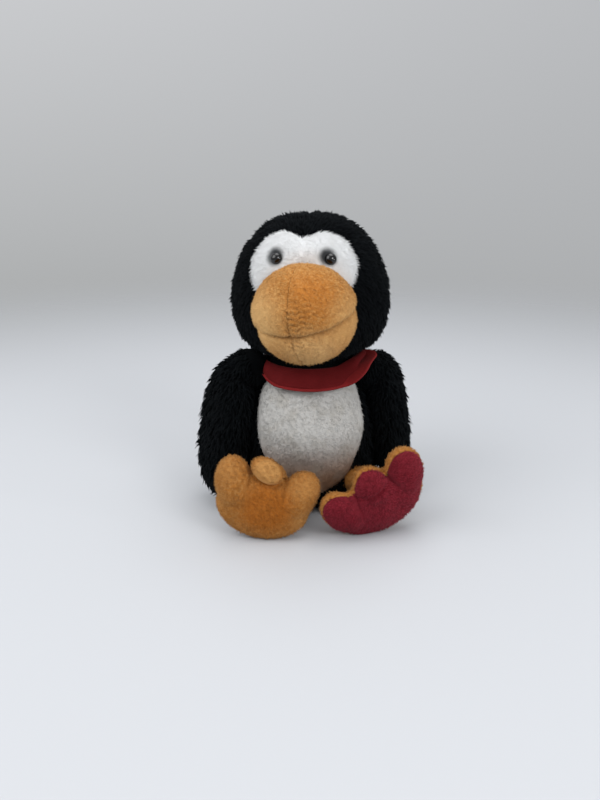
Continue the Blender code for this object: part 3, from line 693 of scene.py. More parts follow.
def make_head():
    columns = np.arange(-24, 72) * math.pi / 48
    edge = mask_edge(columns)
    gap = 0.006
    mask_tilts = edge * np.linspace(0, 1, 24)[:, None]
    side_tilts = edge + gap + (math.pi - edge - gap) * np.linspace(0, 1, 46)[:, None] ** 1.08
    centre = turned(HEAD_CENTRE, HEAD_TURN)
    mask = head_shell(edge, mask_tilts, columns, 0)
    side = head_shell(edge, side_tilts, columns, 1.2)
    mask_skin = Skin(turned(mask, HEAD_TURN), centre, wrap=True)
    mask_skin.panel("head_mask_skin", "head", "white_plush", "head_face_mask", 0.8)
    ring = np.concatenate([side, side[:, :1]], axis=1)
    for name, part in (("left", ring[:, :49]), ("right", ring[:, 48:])):
        part, sign = part.copy(), SIDES[name]
        part[..., 0] = sign * np.maximum(sign * part[..., 0], 0.15)
        skin = Skin(turned(part, HEAD_TURN), centre)
        skin.panel(f"head_{name}_skin", "head", "black_plush", f"head_{name}_panel", 0.8)
        head_fur(name, skin)
    mask_nap(mask_skin)
    make_eyes()


def head_shell(edge, tilts, columns, extra):
    """The head's skin, pressed in by its relief, by the seam round the mask and by an extra, in mm."""
    points = polar_rows(HEAD_CENTRE, face_axes(), tilts, columns, in_head)
    seam = 0.9 * bump((tilts - edge) * ARC, 1.6)
    return sunk(points, HEAD_CENTRE, head_relief(points) + seam + extra)


def head_frame(points):
    """Points of the toy's frame brought back to the head's own, straight-ahead frame."""
    return turned(points, -HEAD_TURN)


def in_beak_base(points, inset):
    return np.linalg.norm((points - BEAK_CENTRE) / (BEAK_RADII - inset), axis=-1) < 1


def from_mask(points):
    """How far points of the head's frame are outside the mask's edge, in mm."""
    columns, tilt = face_angles(points)
    return (tilt - mask_edge(columns)) * FACE_ARC


def head_lie(roots):
    """The head's pile runs back and down from the face."""
    away = unit(head_frame(roots) - face_point(*FACE_POLE)) * (1, 0.6, 1)
    return turned(away + (0, 0.35, -0.75), HEAD_TURN)


def head_fur(name, skin):
    coat = coat_of_skins([skin], 1.42, 21 if name == "left" else 22)
    local = head_frame(coat.roots)
    over_neck = (local[:, 2] < 119.2) & (np.hypot(local[:, 0], local[:, 1]) < 30)
    coat.keep(~(in_beak_base(local, 1.0) | over_neck))
    local = head_frame(coat.roots)
    length = 5.0 - 1.6 * bump(from_mask(local), 6) - 0.8 * bump(local[:, 2] - 118, 6)
    tufts(f"head_{name}_fur", coat, "head", "black_plush", length, 1.15, head_lie, stand=0.30, ruffle=0.34,
          clump=9, bend=0.5, soft=0.5)


def mask_lie(roots):
    """The face's pile fans out and down from the middle of the brows."""
    return turned((head_frame(roots) - (0, 0, 202)) * (1, 0, 1), HEAD_TURN)


def mask_nap(skin):
    coat = coat_of_skins([skin], 0.74, 31)
    local = head_frame(coat.roots)
    bare = in_beak_base(local, 1.2)
    for x, z in EYES.values():
        bare |= np.linalg.norm(local - face_point(x, z), axis=-1) < EYE_R * 0.8
    coat.keep(~bare)
    length = 2.1 + 1.3 * bump(from_mask(head_frame(coat.roots)), 3.0)
    tufts("head_mask_nap", coat, "head", "white_plush", length, 0.66, mask_lie, stand=0.55, ruffle=0.34,
          clump=4.5, segments=1, bend=0.35, soft=0.6)


def make_eyes():
    """Glossy bead eyes half sunk in the pile."""
    for name, (x, z) in EYES.items():
        place = face_point(x, z)
        out = unit(place - HEAD_CENTRE)
        side = unit(np.cross(out, (0, 0, 1)))
        bead = ball(25, 40) * (1, 1, 0.92) @ np.array([side, np.cross(side, out), out])
        rows = place - 1.1 * out + (EYE_R - 0.3) * bead
        made = lump(f"eye_bead_{name}", turned(rows, HEAD_TURN), "head", "eye_plastic")
        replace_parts(made, f"eye_{name}")


# ---------------------------------------------------------------- the beak
def beak_axes():
    """The pole where the beak's seams meet, then across along the mouth and up, all rolled."""
    turn, rise, roll = (math.radians(a) for a in BEAK_SEAMS)
    placed = Matrix.Rotation(turn, 3, "Z") @ Matrix.Rotation(-rise, 3, "X") @ Matrix.Rotation(-roll, 3, "Y")
    return tuple(np.array(placed @ Vector(v)) for v in ((0, -1, 0), (1, 0, 0), (0, 0, 1)))


def in_beak(points):
    return (((points - BEAK_CENTRE) / BEAK_RADII) ** 2).sum(-1) < 1


def beak_relief(tilts, columns):
    """How far the beak's skin is drawn in by its seams, over tilts (rows) and columns."""
    radius = 35.0
    across = np.sin(tilts) * np.cos(columns) * radius
    up = np.sin(tilts) * np.sin(columns) * radius
    upper, lower = up > 0, up <= 0
    # Mouth: a deep crease, deepest at the corners, with the lower jaw set back under it.
    crease = 3.2 + 1.5 * bump(tilts * radius - 48, 19) + 1.6 * bump(across - 26, 14)
    depth = PILE + crease * bump(up, 1.8) + np.where(lower, 2.2 * bump(up + 1.5, 7.5), 0)
    # Middle seam, above and below the mouth, with small puckers beside it.
    seam = np.where(upper, 0.12 + 1.1 * bump(up - 5, 11), 1.1)
    depth = depth + seam * bump(across, 1.1) + 0.5 * bump(across, 3.5) * bump(up - 2, 14)
    spread = np.where(across > 0, 15, 6)
    pucker = np.where(upper, bump(up - 11, 12), 0.8 * bump(up + 7, 7)) * bump(across - 3, spread)
    wrinkle = up + 0.15 * across + 1.1 * np.sin(across * 0.42) + 0.6 * np.sin(across * 1.1 + 1)
    ripple = np.sin(2 * math.pi * wrinkle / 3.4) * (0.6 + 0.4 * np.sin(across * 0.8 + up * 0.5))
    return depth + 1.25 * pucker * ripple + 1.1 * bump(np.hypot(across, up), 2.6)


def make_beak():
    axes = beak_axes()
    first_tilt, seam_gap = math.radians(1), math.radians(0.35)
    # Columns gather towards the seams, where the relief is fine.
    share = np.linspace(-1, 1, 27)
    share = 0.5 + 0.5 * np.sign(share) * (1 - (1 - np.abs(share)) ** 1.35)
    tries = np.radians(np.arange(60, 175, 1.5))
    skins = []
    for quarter, name in enumerate(("upper_left", "upper_right", "lower_right", "lower_left")):
        columns = math.pi / 2 * quarter + seam_gap + (math.pi / 2 - 2 * seam_gap) * share
        rows = polar_rows(BEAK_CENTRE, axes, tries[:, None] * np.ones_like(columns), columns, in_beak)
        hidden = in_head(rows, -2.5)
        last = np.array([tries[np.argmax(column)] if column.any() else tries[-1] for column in hidden.T])
        tilts = first_tilt + (last - first_tilt) * np.linspace(0, 1, 92)[:, None]
        points = polar_rows(BEAK_CENTRE, axes, tilts, columns, in_beak)
        depth = beak_relief(tilts, columns) + 0.25 * swell(points, 22, 5) + 0.12 * swell(points, 7, 6)
        points = sunk(points, BEAK_CENTRE, depth)
        skin = Skin(turned(points, HEAD_TURN), turned(BEAK_CENTRE, HEAD_TURN))
        skin.panel(f"beak_{name}_skin", "head", "orange_plush", f"beak_{name}_panel", 0.9, depth=1.2)
        skins.append(skin)
    coat = coat_of_skins(skins, 0.86, 41)
    local = head_frame(coat.roots)
    across, up = ((local - BEAK_CENTRE) @ axis for axis in axes[1:])
    in_crease = (np.abs(up + 0.3) < 1.1) | ((np.abs(across) < 0.7) & (up < 9))
    coat.keep(~(in_head(local, -0.5) | in_crease))
    rim = bump(head_frame(coat.roots)[:, 2] - 131, 7)
    tufts("beak_nap", coat, "head", "orange_plush", 1.9 + 0.9 * rim, 0.75, beak_lie, **ORANGE_PILE)


def beak_lie(roots):
    """The beak's pile is brushed outward from the middle seam, back and down."""
    return turned((head_frame(roots) - BEAK_CENTRE) * (0.03, 0, 0) + (0, 0.6, -0.45), HEAD_TURN)


# ---------------------------------------------------------------- the torso
def torso_at(height):
    """The torso's half width, its half depth and the y of its centre at each height."""
    return tuple(np.interp(height, TORSO_CURVE[:, 0], TORSO_CURVE[:, k]) for k in (1, 2, 3))


def torso_point(height, angle):
    """A point of the torso's surface; the angle runs from the front towards +X."""
    width, depth, middle = torso_at(height)
    return np.stack(np.broadcast_arrays(width * np.sin(angle), middle - depth * np.cos(angle), height), -1)


def belly_edge(heights):
    """The angle from the front at which the belly panel ends, at each height."""
    half = np.interp(heights, BELLY_CURVE[:, 0], BELLY_CURVE[:, 1], left=0)
    return np.arcsin(np.clip(half / torso_at(heights)[0], 0, 0.97))


def make_torso():
    heights = np.linspace(0.4, 109, 64)
    edge = belly_edge(heights)[:, None]
    gap = 0.2 / torso_at(heights)[0][:, None]
    lowest_row = int(np.argmax(heights > BELLY[0, 0]))
    belly = (edge * np.linspace(-1, 1, 37))[lowest_row:]
    side = edge + gap + (math.pi - edge - 1.5 * gap) * np.linspace(0, 1, 46)
    skins = {}
    for name, angles, levels, finish in (("belly", belly, heights[lowest_row:], "white_plush"),
                                         ("left", side, heights, "black_plush"),
                                         ("right", -side, heights, "black_plush")):
        points = torso_point(levels[:, None], angles)
        from_edge = (edge[-len(levels):] - np.abs(angles)) * ARC
        depth = PILE + 1.0 * bump(from_edge, 1.8) + 0.6 * swell(points, 42, 7) + 0.22 * swell(points, 13, 8)
        if finish == "black_plush":
            depth = depth + 1.2 + 0.8 * bump((math.pi - np.abs(angles)) * ARC, 1.8)
        seat = np.clip(1 - levels / 6, 0, 1)[:, None]
        points = sunk(points, TORSO_CENTRE, depth * (1 - seat) + 0.4 * seat)
        skins[name] = Skin(points, TORSO_CENTRE)
        skins[name].panel(f"torso_{name}_skin", "torso", finish, f"torso_{name}_panel", 0.75)
    torso_fur([skins["left"], skins["right"]])
    coat = coat_of_skins([skins["belly"]], 0.86, 51)
    coat.keep(coat.roots[:, 2] < 106)
    tufts("torso_belly_nap", coat, "torso", "white_plush", 2.2, 0.72, belly_lie, stand=0.42, ruffle=0.5,
          clump=4.5, segments=1, bend=0.45, soft=0.5)
    make_neck()


def belly_lie(roots):
    """The belly's pile runs down, and to one side or the other in patches."""
    return swell(roots, 30, 9)[:, None] * (0.5, 0, 0) + (0.35, 0, -0.9)


def torso_fur(skins):
    coat = coat_of_skins(skins, 1.85, 52)
    coat.keep((coat.roots[:, 2] > 2.5) & (coat.roots[:, 2] < 107))
    x, y, height = coat.roots.T
    angle = np.abs(np.arctan2(x, -y))
    under_wing = bump(angle - math.pi / 2, 0.75)
    length = 5.6 + 3.6 * under_wing - 3.0 * np.clip((height - 96) / 9, 0, 1) * (1 - under_wing)
    length = length - 2.2 * np.clip((14 - height) / 12, 0, 1)
    length = length - 2.0 * bump((angle - belly_edge(height)) * ARC, 6)
    tufts("torso_fur", coat, "torso", "black_plush", length, 1.6, towards(0, 0.15, -1), stand=0.42,
          ruffle=0.42, clump=10, bend=0.5, soft=0.3)


def tube(route, radius, count, side, top):
    """A lattice round a route: side and top point across it, at each of its places."""
    angles = np.arange(count) * 2 * math.pi / count
    round_ = np.cos(angles)[:, None] * side[:, None] + np.sin(angles)[:, None] * top[:, None]
    return route[:, None] + np.broadcast_to(radius, len(route))[:, None, None] * round_


def make_neck():
    """The black neck under the neckerchief."""
    height, radius = smooth_curve([(100, 36), (106, 35.5), (110, 34), (115, 32), (119, 30), (123, 26)], 5).T
    axis = height[:, None] * (0, 0, 1)
    skin = Skin(tube(axis, radius, 64, axis * 0 + (0, -1, 0), axis * 0 + (1, 0, 0)), (0, 0, 112), wrap=True)
    piece = skin.solid("neck_skin", None, "black_plush")
    coat = coat_of_skins([skin], 1.9, 53)
    coat.keep(coat.roots[:, 2] < 121)
    fur = tufts("neck_fur", coat, None, "black_plush", 3.6, 1.5, towards(0, 0, -1), stand=0.3, ruffle=0.4,
                clump=9, bend=0.5, soft=0.3)
    blend_all((piece, fur))


# ---------------------------------------------------------------- pieces refined from the CAD panels
def refined(node, name, body, finish, levels=2):
    """A smooth copy of a CAD panel by Catmull-Clark subdivision."""
    made = add_object(name, frame["nodes"][node].data.copy())
    work = bmesh.new()
    work.from_mesh(made.data)
    bmesh.ops.remove_doubles(work, verts=work.verts, dist=1e-6)
    bmesh.ops.join_triangles(work, faces=work.faces, angle_face_threshold=0.7, angle_shape_threshold=0.9)
    bmesh.ops.recalc_face_normals(work, faces=work.faces)
    # A panel's rim stays where it is, so that panels still meet at their seam.
    crease = work.edges.layers.float.new("crease_edge")
    for edge in work.edges:
        if edge.is_manifold and edge.calc_face_angle() > 1.0:
            edge[crease] = 1.0
    work.to_mesh(made.data)
    work.free()
    made.data.materials.clear()
    made.data.materials.append(FINISHES[finish])
    subdivide = made.modifiers.new("smooth", "SUBSURF")
    subdivide.levels = subdivide.render_levels = levels
    apply_modifiers(made)
    made.data.shade_smooth()
    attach(made, body)
    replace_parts(made, node)
    return made


def filling(node, body, shrink, word="filling", finish="fibrefill"):
    """The stuffing of a pillow, drawn in from its cover by a few mm, because the cover is soft."""
    mesh = refined(node, node.replace("stuffing", word), body, finish, levels=1).data
    points = read(mesh.vertices, "co")
    low, high = points.min(0), points.max(0)
    middle = (low + high) / 2
    moved = (points - middle) * (1 - 2 * shrink * MM / (high - low)) + middle
    mesh.vertices.foreach_set("co", moved.astype(np.float32).ravel())
    mesh.update()


def apply_modifiers(piece):
    """Replaces a piece's mesh by what its modifiers make of it."""
    graph = bpy.context.evaluated_depsgraph_get()
    mesh = bpy.data.meshes.new_from_object(piece.evaluated_get(graph))
    piece.modifiers.clear()
    piece.data = mesh


def box_mm(node):
    """The lowest and the highest corner of a CAD node in the toy's frame, in mm."""
    return tuple((np.array(corner) - ORIGIN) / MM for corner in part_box(node))


def furred_panel(name, body, centre, spacing, seed):
    """A CAD panel refined into black plush, and the roots for fur over its outer side."""
    skin = refined(f"{name}_panel", f"{name}_skin", body, "black_plush")
    return coat_of_piece(skin, spacing, seed, centre)


def make_wings():
    for side, sign in SIDES.items():
        wing = f"wing_{side}"
        corners = np.array([box_mm(f"{wing}_{part}_panel") for part in ("outer", "inner")])
        centre = (corners[:, 0].min(0) + corners[:, 1].max(0)) / 2
        for part, spacing, seed in (("outer", 1.75, 61), ("inner", 2.2, 62)):
            coat = furred_panel(f"{wing}_{part}", wing, centre, spacing, seed)
            facing_body = -sign * coat.normals[:, 0]
            near_shoulder = np.clip((coat.roots[:, 2] - 96) / 22, 0, 1)
            length = 7.4 + 0.6 * np.clip(facing_body, 0, 1) - 2.2 * near_shoulder
            tufts(f"{wing}_{part}_fur", coat, wing, "black_plush", length, 1.9,
                  towards(0.25 * sign, -0.12, -1), stand=0.36, ruffle=0.5, clump=8, bend=0.5, droop=0.15,
                  soft=0.3)


def uneven_ball(centre, radii):
    """A slightly uneven round lump as a lattice."""
    points = ball(25, 40)
    return centre + points * radii * (1 + 0.03 * swell(points * 10, 9, 19))[..., None]


def make_shoulders():
    """The plush over each shoulder seam, between torso and wing."""
    for side, sign in SIDES.items():
        centre, radii = SHOULDERS[side]
        rows = uneven_ball(centre, radii)
        piece = lump(f"shoulder_{side}_skin", rows, None, "black_plush")
        coat = coat_of_skins([Skin(rows, centre, wrap=True)], 1.6, 75)
        # The neckerchief lies on the shoulder's front, so no fur stands there.
        x, y, z = coat.roots.T
        under_cloth = (np.hypot(x, y) < 52) & (y < -4) & (z > 110)
        coat.keep((coat.normals[:, 2] > -0.6) & ~under_cloth)
        fur = tufts(f"shoulder_{side}_fur", coat, None, "black_plush", 4.6, 1.6,
                    towards(0.5 * sign, -0.2, -1), stand=0.34, ruffle=0.42, clump=9, bend=0.5, soft=0.3)
        blend_all((piece, fur))


def make_tail():
    pile = dict(lie=towards(0, 1, -0.2), stand=0.3, ruffle=0.4, bend=0.5)
    centre = (0, 46, 17)
    rows = uneven_ball(centre, (12, 9, 8.5))
    root = lump("tail_root_skin", rows, None, "black_plush")
    coat = coat_of_skins([Skin(rows, centre, wrap=True)], 1.7, 73)
    fur = tufts("tail_root_fur", coat, None, "black_plush", 4.5, 1.5, soft=0.3, **pile)
    blend_all((root, fur))
    centre = sum(box_mm("tail_upper_panel")) / 2 - (0, 0, 4)
    for part, seed in (("upper", 71), ("lower", 72)):
        coat = furred_panel(f"tail_{part}", "tail", centre, 1.6, seed)
        tufts(f"tail_{part}_fur", coat, "tail", "black_plush", 4.5, 1.5, **pile)


# ---------------------------------------------------------------- feet
def foot_frame(side):
    """A foot's origin low in its palm, and its axes across, up and out of the sole, in the toy's frame."""
    spec = FEET[side]
    lean = Matrix.Rotation(math.radians(spec["lean"]), 3, "X")
    roll = Matrix.Rotation(math.radians(spec["roll"]), 3, "Y")
    axes = np.array([lean @ roll @ Vector(v) for v in ((1, 0, 0), (0, 0, 1), (0, -1, 0))])
    pivot = pivot_of(spec["joint"])
    origin = turned(pivot + spec["palm"] - PALM_RISE * axes[1], spec["turn"], pivot)
    return origin, turned(axes, spec["turn"])


def foot_spot(side, point):
    """A place given across, up and out in a foot's own frame, in world metres."""
    origin, axes = foot_frame(side)
    return place_m(origin + np.array(point, float) @ axes)


def foot_lumps(side):
    """The palm and three toes, each (centre, radii, tilt) in the foot's frame."""
    if side == "left":
        return [((-1.5, 3, 0), (35, 25.5, 11), 0),
                ((-28.0, 13, 0), (14, 21, 11.8), 20), ((24.5, 15, 0), (14.5, 21, 11.8), -20),
                ((-1, 18, 0.5), (13.6, 20, 11.4), 0)]
    return [((0, 3, 0), (34.5, 25, 10.8), 0),
            ((-23.5, 15, 0), (14, 21, 11.8), 20), ((23.2, 15, 0), (14, 21, 11.8), -20),
            ((1.5, 18, -2.5), (12.8, 17.5, 9), 0), ((-2.5, 31, 6.4), (12.8, 8.8, 6.4), -24)]


def foot_form(side, inset, voxel):
    """The foot's lumps, each smaller by an inset, welded into one: points in its frame, and faces."""
    rows, columns = 17, 28
    lumps = [turned(ball(rows, columns) * (np.array(radii) - inset), tilt) + centre
             for centre, radii, tilt in foot_lumps(side)]
    faces = [lattice_faces(rows, columns, True, rows * columns * k) for k in range(len(lumps))]
    name = f"foot_{side}_form"
    made = make_mesh(name, np.array(lumps), np.concatenate(faces), None, "orange_plush", on_floor=False)
    tidy_solid(made)
    remesh = made.modifiers.new("weld", "REMESH")
    remesh.mode = "VOXEL"
    remesh.voxel_size = voxel * MM
    ease = made.modifiers.new("ease", "SMOOTH")
    ease.factor, ease.iterations = 0.5, 4
    apply_modifiers(made)
    local = (read(made.data.vertices, "co") - ORIGIN) / MM
    quads = [tuple(polygon.vertices) for polygon in made.data.polygons]
    bpy.data.objects.remove(made)
    return local, quads


def foot_crease(side, local):
    """How deep a point in the foot's frame lies in a crease of the sole, from 0 to 1."""
    x, y, z = local.T
    if side == "left":
        crease = bump(y - 18.5 - 0.02 * (x + 1) ** 2, 1.9) * bump(x + 1, 10.5)
        crease = crease + bump(x - 12.5 + 0.25 * (y - 22), 1.5) * bump(y - 22, 8)
        crease = crease + 0.7 * bump(x + 15 - 0.25 * (y - 20), 1.5) * bump(y - 20, 7)
    else:
        lean = math.radians(24)
        u = (x + 2.5) * math.cos(lean) - (y - 31) * math.sin(lean)
        v = (x + 2.5) * math.sin(lean) + (y - 31) * math.cos(lean)
        rim = np.hypot(u / 14.0, v / 10.0)
        crease = bump((rim - 1) * 11, 1.3) * (v < 1.5)
        crease = crease + 0.6 * bump(x - 13 + 0.1 * (y - 20), 1.5) * bump(y - 20, 7)
        crease = crease + 0.6 * bump(x + 14 - 0.1 * (y - 20), 1.5) * bump(y - 20, 7)
    return np.where(z > 0, np.minimum(crease, 1), 0)


def make_foot(side):
    body = f"foot_{side}"
    origin, axes = foot_frame(side)
    local, quads = foot_form(side, 0, 1.15)
    local = foot_relief(side, local)
    in_sole = np.array([local[list(quad), 2].mean() > FOOT_SEAM[side] for quad in quads])
    fill, fill_quads = foot_form(side, 4, 2.2)
    filled = make_mesh(f"{body}_filling", origin + fill @ axes, fill_quads, body, "fibrefill")
    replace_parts(filled, f"{body}_stuffing")

    centre = origin + np.array([0, 10, 0]) @ axes

    def lie(roots):
        """The pile fans out a little from the foot's middle and runs down."""
        return ((roots - centre) @ axes.T * (0.03, 0.02, 0) - (0, 0.2, 0)) @ axes

    sole_finish = "raspberry_plush" if side == "left" else "orange_plush"
    for part, wanted, finish, spacing, seed in (("sole", in_sole, sole_finish, 0.9, 81),
                                                ("top", ~in_sole, "orange_plush", 1.1, 82)):
        own = [quad for quad, use in zip(quads, wanted) if use]
        piece = make_mesh(f"{body}_{part}_skin", origin + local @ axes, own, None, finish)
        tidy_solid(piece, merge=False)
        thicken = piece.modifiers.new("fabric", "SOLIDIFY")
        thicken.thickness = 1.2 * MM
        thicken.offset = -1
        apply_modifiers(piece)
        piece.data.shade_smooth()
        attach(piece, body)
        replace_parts(piece, f"{body}_{part}_panel")
        coat = coat_of_piece(piece, spacing, seed, centre)
        coat.keep(foot_crease(side, (coat.roots - origin) @ axes.T) < 0.55)
        tufts(f"{body}_{part}_nap", coat, body, finish, 2.2, 0.8, lie, **ORANGE_PILE)
    make_leg(side)


def make_leg(side):
    """The soft leg from inside the torso to the back of the foot."""
    route = smooth_curve(LEGS[side], 8)
    along = unit(np.gradient(route, axis=0))
    across = unit(np.cross(along, (0, 0, 1)))
    share = np.linspace(0, 1, len(route))
    radius = LEG_R + 1.2 * (1 - share) + 0.35 * np.sin(share * 9)
    skin = Skin(tube(route, radius, 32, across, np.cross(across, along)), route.mean(0), wrap=True)
    piece = skin.panel(f"leg_{side}_skin", None, "orange_plush", f"leg_{side}_panel", 0.6, depth=1.2)
    nap = tufts(f"leg_{side}_nap", coat_of_skins([skin], 1.0, 85), None, "orange_plush", 2.2, 0.8,
                towards(0, -1, -0.3), **ORANGE_PILE)
    blend_all((piece, nap))


def foot_relief(side, local):
    """Seams, creases and unevenness of a foot, on points in its own frame."""
    local = local.copy()
    x, y, z = local.T
    # Points near the seam line settle on it, so that the two colours meet cleanly.
    seam = FOOT_SEAM[side]
    near = np.abs(z - seam) < 0.55
    local[near, 2] = seam
    rim = bump(z - seam, 1.3)
    local[:, 0] -= np.sign(x) * 0.5 * rim * np.minimum(np.abs(x) / 20, 1)
    local[:, 1] -= np.sign(y - 10) * 0.5 * rim * np.minimum(np.abs(y - 10) / 20, 1)
    local[:, 2] -= 3.2 * foot_crease(side, local)
    soft = 0.45 * swell(local, 20, 15) + 0.18 * swell(local, 7, 16)
    local[:, 2] += np.where(np.abs(z) > 3, np.sign(z) * soft, 0)
    return local


# ---------------------------------------------------------------- neckerchief
def kerchief_edge(angle, front, side, back):
    """A value that runs smoothly from the front past the sides to the back."""
    ahead = np.clip(np.cos(angle), 0, 1) ** 0.8
    behind = np.clip(-np.cos(angle), 0, 1) ** 0.8
    return side + (front - side) * ahead + (back - side) * behind


def kerchief_layer(part, inner, outer, thick):
    """One ring of cloth: inner and outer are functions of the angle giving radius and height."""
    angles = np.arange(150) * 2 * math.pi / 150
    shares = np.linspace(0, 1, 17)[:, None]
    (r0, z0), (r1, z1) = inner(angles), outer(angles)
    # The cloth bows outward between its edges, and lies in shallow folds.
    length = np.hypot(r1 - r0, z1 - z0)
    bow = np.sin(shares * math.pi) * 1.3 + 0.7 * np.sin(shares * 2.2)
    radius = r0 + (r1 - r0) * shares + bow * -(z1 - z0) / length
    height = z0 + (z1 - z0) * shares + bow * (r1 - r0) / length
    points = np.stack([radius * np.sin(angles), -radius * np.cos(angles), height], -1)
    fold = 0.9 * swell(points * (1, 1, 0.5), 26, 17) * shares + 0.35 * swell(points, 10, 18) * shares
    points = points + np.stack([np.sin(angles) * fold, -np.cos(angles) * fold, fold * 0.4], -1)
    skin = Skin(points, (0, 0, 100), wrap=True)
    cloth = skin.solid(f"neckerchief_{part}_cloth", "neckerchief", "red_cloth", depth=thick)
    return cloth, skin.flat_size()


def angle_from(angles, degrees):
    """How far each angle is from a direction, from -180 to 180 degrees."""
    return (np.degrees(angles) - degrees + 180) % 360 - 180


def flare(angles):
    """1 where the cloth is pushed out and up by the shoulder on +X, fading to 0 round it."""
    away = angle_from(angles, 68)
    return plateau(away, np.where(away > 0, 34, 27))


def tuck(angles):
    """1 where the shoulder on -X holds the cloth in, fading to 0 round it."""
    return bump(angle_from(angles, -62), 18)


def band_inner(angles):
    radius = kerchief_edge(angles, 36.5, 35, 34) + 3 * flare(angles)
    return radius, kerchief_edge(angles, 116.2, 118, 115.5) + 4.5 * flare(angles)


def band_outer(angles):
    radius = kerchief_edge(angles, 49.3, 42, 45) + 0.5 * flare(angles) - 4 * tuck(angles)
    return radius, kerchief_edge(angles, 104.2, 113.5, 104.5) + 12 * flare(angles) + 2 * tuck(angles)


def fold_inner(angles):
    return kerchief_edge(angles, 34.5, 33.5, 33), kerchief_edge(angles, 110.5, 112.5, 108)


def fold_outer(angles):
    """The under fold follows the band, and stands out past it in front of the shoulder on +X."""
    radius, height = band_outer(angles)
    return radius + 1.2 + 9 * plateau(angle_from(angles, 58), 23), height - 1.8 + 2.5 * flare(angles)


def make_kerchief():
    band, band_size = kerchief_layer("band", band_inner, band_outer, 1.5)
    fold, fold_size = kerchief_layer("fold", fold_inner, fold_outer, 1.1)
    hem = fold.data.attributes.new("hem", "FLOAT", "POINT")
    hem.data.foreach_set("value", np.ones(len(fold.data.vertices), np.float32))
    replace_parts(band, "neckerchief_band")
    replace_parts(fold, "neckerchief_under_fold")
    make_knot()
    for side, sign in SIDES.items():
        make_hanging_end(side, sign)


def make_knot():
    """The knot behind the neck, wrapped by one turn of the cloth."""
    lowest, highest = box_mm("neckerchief_knot")
    sphere = ball(33, 48)
    x, z = sphere[..., 0], sphere[..., 2]
    folds = 1 - 0.07 * np.abs(np.sin(7 * x + 1.4 * z)) - 0.10 * bump(x - 0.55, 0.12)
    radii = (highest - lowest) / 2 + (0.5, 1.5, 0.5)
    rows = (lowest + highest) / 2 - (0, 2.5, 0) + sphere * folds[..., None] * radii
    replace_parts(lump("neckerchief_knot_cloth", rows, "neckerchief", "red_cloth"), "neckerchief_knot")


def make_hanging_end(side, sign):
    """One of the cloth's two ends, which hangs from the knot, narrow at the top and pleated."""
    node = f"neckerchief_tail_{side}"
    lowest, highest = box_mm(node)
    top_x, tip_x = (lowest[0] + 5, highest[0] - 5)[::sign]
    top_z = highest[2] + 3
    down = np.linspace(0, 1, 40)[:, None]
    across = np.linspace(-1, 1, 24)[None, :]
    half = 3.2 + 6.5 * np.sin(down * math.pi * 0.62) * (1 - 0.55 * down ** 6)
    x = top_x + (tip_x - top_x) * down + half * across * 0.95
    z = top_z + (lowest[2] - top_z) * down - 1.4 * across * sign * down
    pleat = 1.3 * (1 - 0.5 * down) * np.cos(across * 4.5) + 0.8 * np.sin(down * 5 + across * 1.5)
    y = (lowest[1] + highest[1]) / 2 + 0.4 + pleat
    skin = Skin(np.stack(np.broadcast_arrays(x, y, z), -1), (0, 0, 90))
    cloth = skin.solid(f"{node}_cloth", "neckerchief", "red_cloth", depth=1.0)
    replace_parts(cloth, node)


# ---------------------------------------------------------------- hidden pieces, stage, light, camera
def finish_hidden():
    """Finishes for the CAD pieces that stay, all hidden inside: the pellet bag, the washers, the seat."""
    words = {"stuffing": "fibrefill", "pellet": "pellet_bag", "washer": "washer_plastic"}
    for name, node in frame["nodes"].items():
        if not node.hide_render:
            finish = next((words[word] for word in words if word in name), "black_plush")
            node.data.materials.clear()
            node.data.materials.append(FINISHES[finish])


def make_stage():
    """A pale floor that fades into an equally pale surround."""
    half = 4.0
    mesh = bpy.data.meshes.new("floor")
    corners = [(-half, -half, 0), (half, -half, 0), (half, half, 0), (-half, half, 0)]
    mesh.from_pydata(corners, [], [(0, 1, 2, 3)])
    floor = add_object("floor", mesh)
    floor.location.z = -0.0002
    paint = Paint("floor", 0.75, (0.53, 0.545, 0.57))
    distance = paint.node("ShaderNodeVectorMath", {0: paint.place}, operation="LENGTH").outputs["Value"]
    clear = paint.node("ShaderNodeBsdfTransparent", {}).outputs["BSDF"]
    inputs = {"Fac": paint.ramp(distance, 0.35, 1.6), 1: paint.shader.outputs["BSDF"], 2: clear}
    mixed = paint.node("ShaderNodeMixShader", inputs).outputs["Shader"]
    paint.links.new(mixed, paint.nodes["Material Output"].inputs["Surface"])
    mesh.materials.append(paint.done())


def make_light(name, place, size, power):
    data = bpy.data.lights.new(name, "AREA")
    data.size, data.energy = size, power
    lamp = add_object(name, data)
    lamp.location = place
    aim = Vector((0, -0.02, 0.10)) - Vector(place)
    lamp.rotation_euler = aim.to_track_quat("-Z", "Y").to_euler()


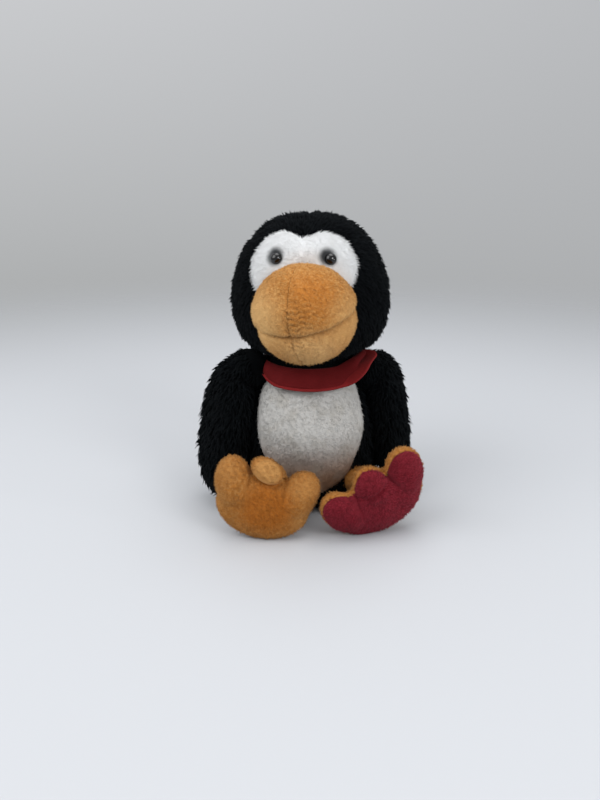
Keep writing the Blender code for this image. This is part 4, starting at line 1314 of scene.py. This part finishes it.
def make_lights():
    world = bpy.data.worlds.new("surround")
    world.use_nodes = True
    tree = world.node_tree
    # Brighter upward, and dimmer to the right, as in a room with a window on the left.
    place = add_node(tree, "ShaderNodeTexCoord", {}).outputs["Generated"]
    split = add_node(tree, "ShaderNodeSeparateXYZ", {"Vector": place})
    colour = (0.45, 0.46, 0.465, 1)
    for axis, low, high, most, further in (("Z", -0.12, 0.30, 1.0, (0.66, 0.67, 0.69, 1)),
                                           ("X", -0.45, 0.45, 0.6, (0.44, 0.45, 0.465, 1))):
        inputs = {"Value": split.outputs[axis], "From Min": low, "From Max": high, "To Max": most}
        share = add_node(tree, "ShaderNodeMapRange", inputs).outputs["Result"]
        inputs = {"Factor": share, 6: colour, 7: further}
        colour = add_node(tree, "ShaderNodeMix", inputs, data_type="RGBA").outputs[2]
    background = tree.nodes["Background"].inputs
    tree.links.new(colour, background["Color"])
    background["Strength"].default_value = 0.95
    bpy.context.scene.world = world
    make_light("window_left", (-0.95, -0.55, 1.05), 1.1, 11.5)
    make_light("front_right", (0.80, -1.0, 0.75), 0.5, 7.2)
    make_light("glint_right", (1.30, -0.60, 0.25), 0.12, 2.5)
    make_light("top", (0.1, 0.1, 1.4), 1.0, 8)
    bpy.context.scene.view_settings.view_transform = "Standard"


def make_camera():
    """The view of someone with a phone half a metre away, looking 18 degrees down."""
    data = bpy.data.cameras.new("camera")
    data.sensor_width, data.lens = 36, 29.16
    camera = add_object("camera", data)
    camera.location = place_m((-7.7, -509, 245))
    camera.rotation_euler = (math.radians(72), 0, 0)
    bpy.context.scene.camera = camera


# ---------------------------------------------------------------- the whole scene
make_camera()
SEEN_FINISHES = (black_plush, white_plush, orange_plush, raspberry_plush, red_cloth, eye_plastic)
# Hidden stuff: its colour, its darker colour, its roughness, and the size of its grain in mm.
HIDDEN_FINISHES = {
    "fibrefill": ((0.80, 0.80, 0.77), (0.62, 0.62, 0.60), 1.0, 2.5),
    "pellet_bag": ((0.66, 0.66, 0.62), (0.5, 0.5, 0.47), 0.8, 1.0),
    "washer_plastic": ((0.72, 0.72, 0.70), (0.66, 0.66, 0.63), 0.45, 4.0),
}
FINISHES = {finish.__name__: finish() for finish in SEEN_FINISHES}
FINISHES.update({name: plain(name, *look) for name, look in HIDDEN_FINISHES.items()})
make_head()
make_beak()
make_torso()
make_wings()
make_shoulders()
make_tail()
for foot in FEET:
    make_foot(foot)
make_kerchief()
for stuffed, body, inset in (("torso", "torso", 5), ("head", "head", 4.5), ("beak", "head", 6),
                             ("wing_left", "wing_left", 5), ("wing_right", "wing_right", 5),
                             ("tail", "tail", 2.5), ("leg_left", "foot_left", 2.5),
                             ("leg_right", "foot_right", 2.5)):
    filling(f"{stuffed}_stuffing", body, inset)
for side in SIDES:
    # The backing cloth of a wing's two panels, which closes the seam between them.
    filling(f"wing_{side}_stuffing", f"wing_{side}", 2.4, "lining", "black_plush")
finish_hidden()
make_stage()
make_lights()
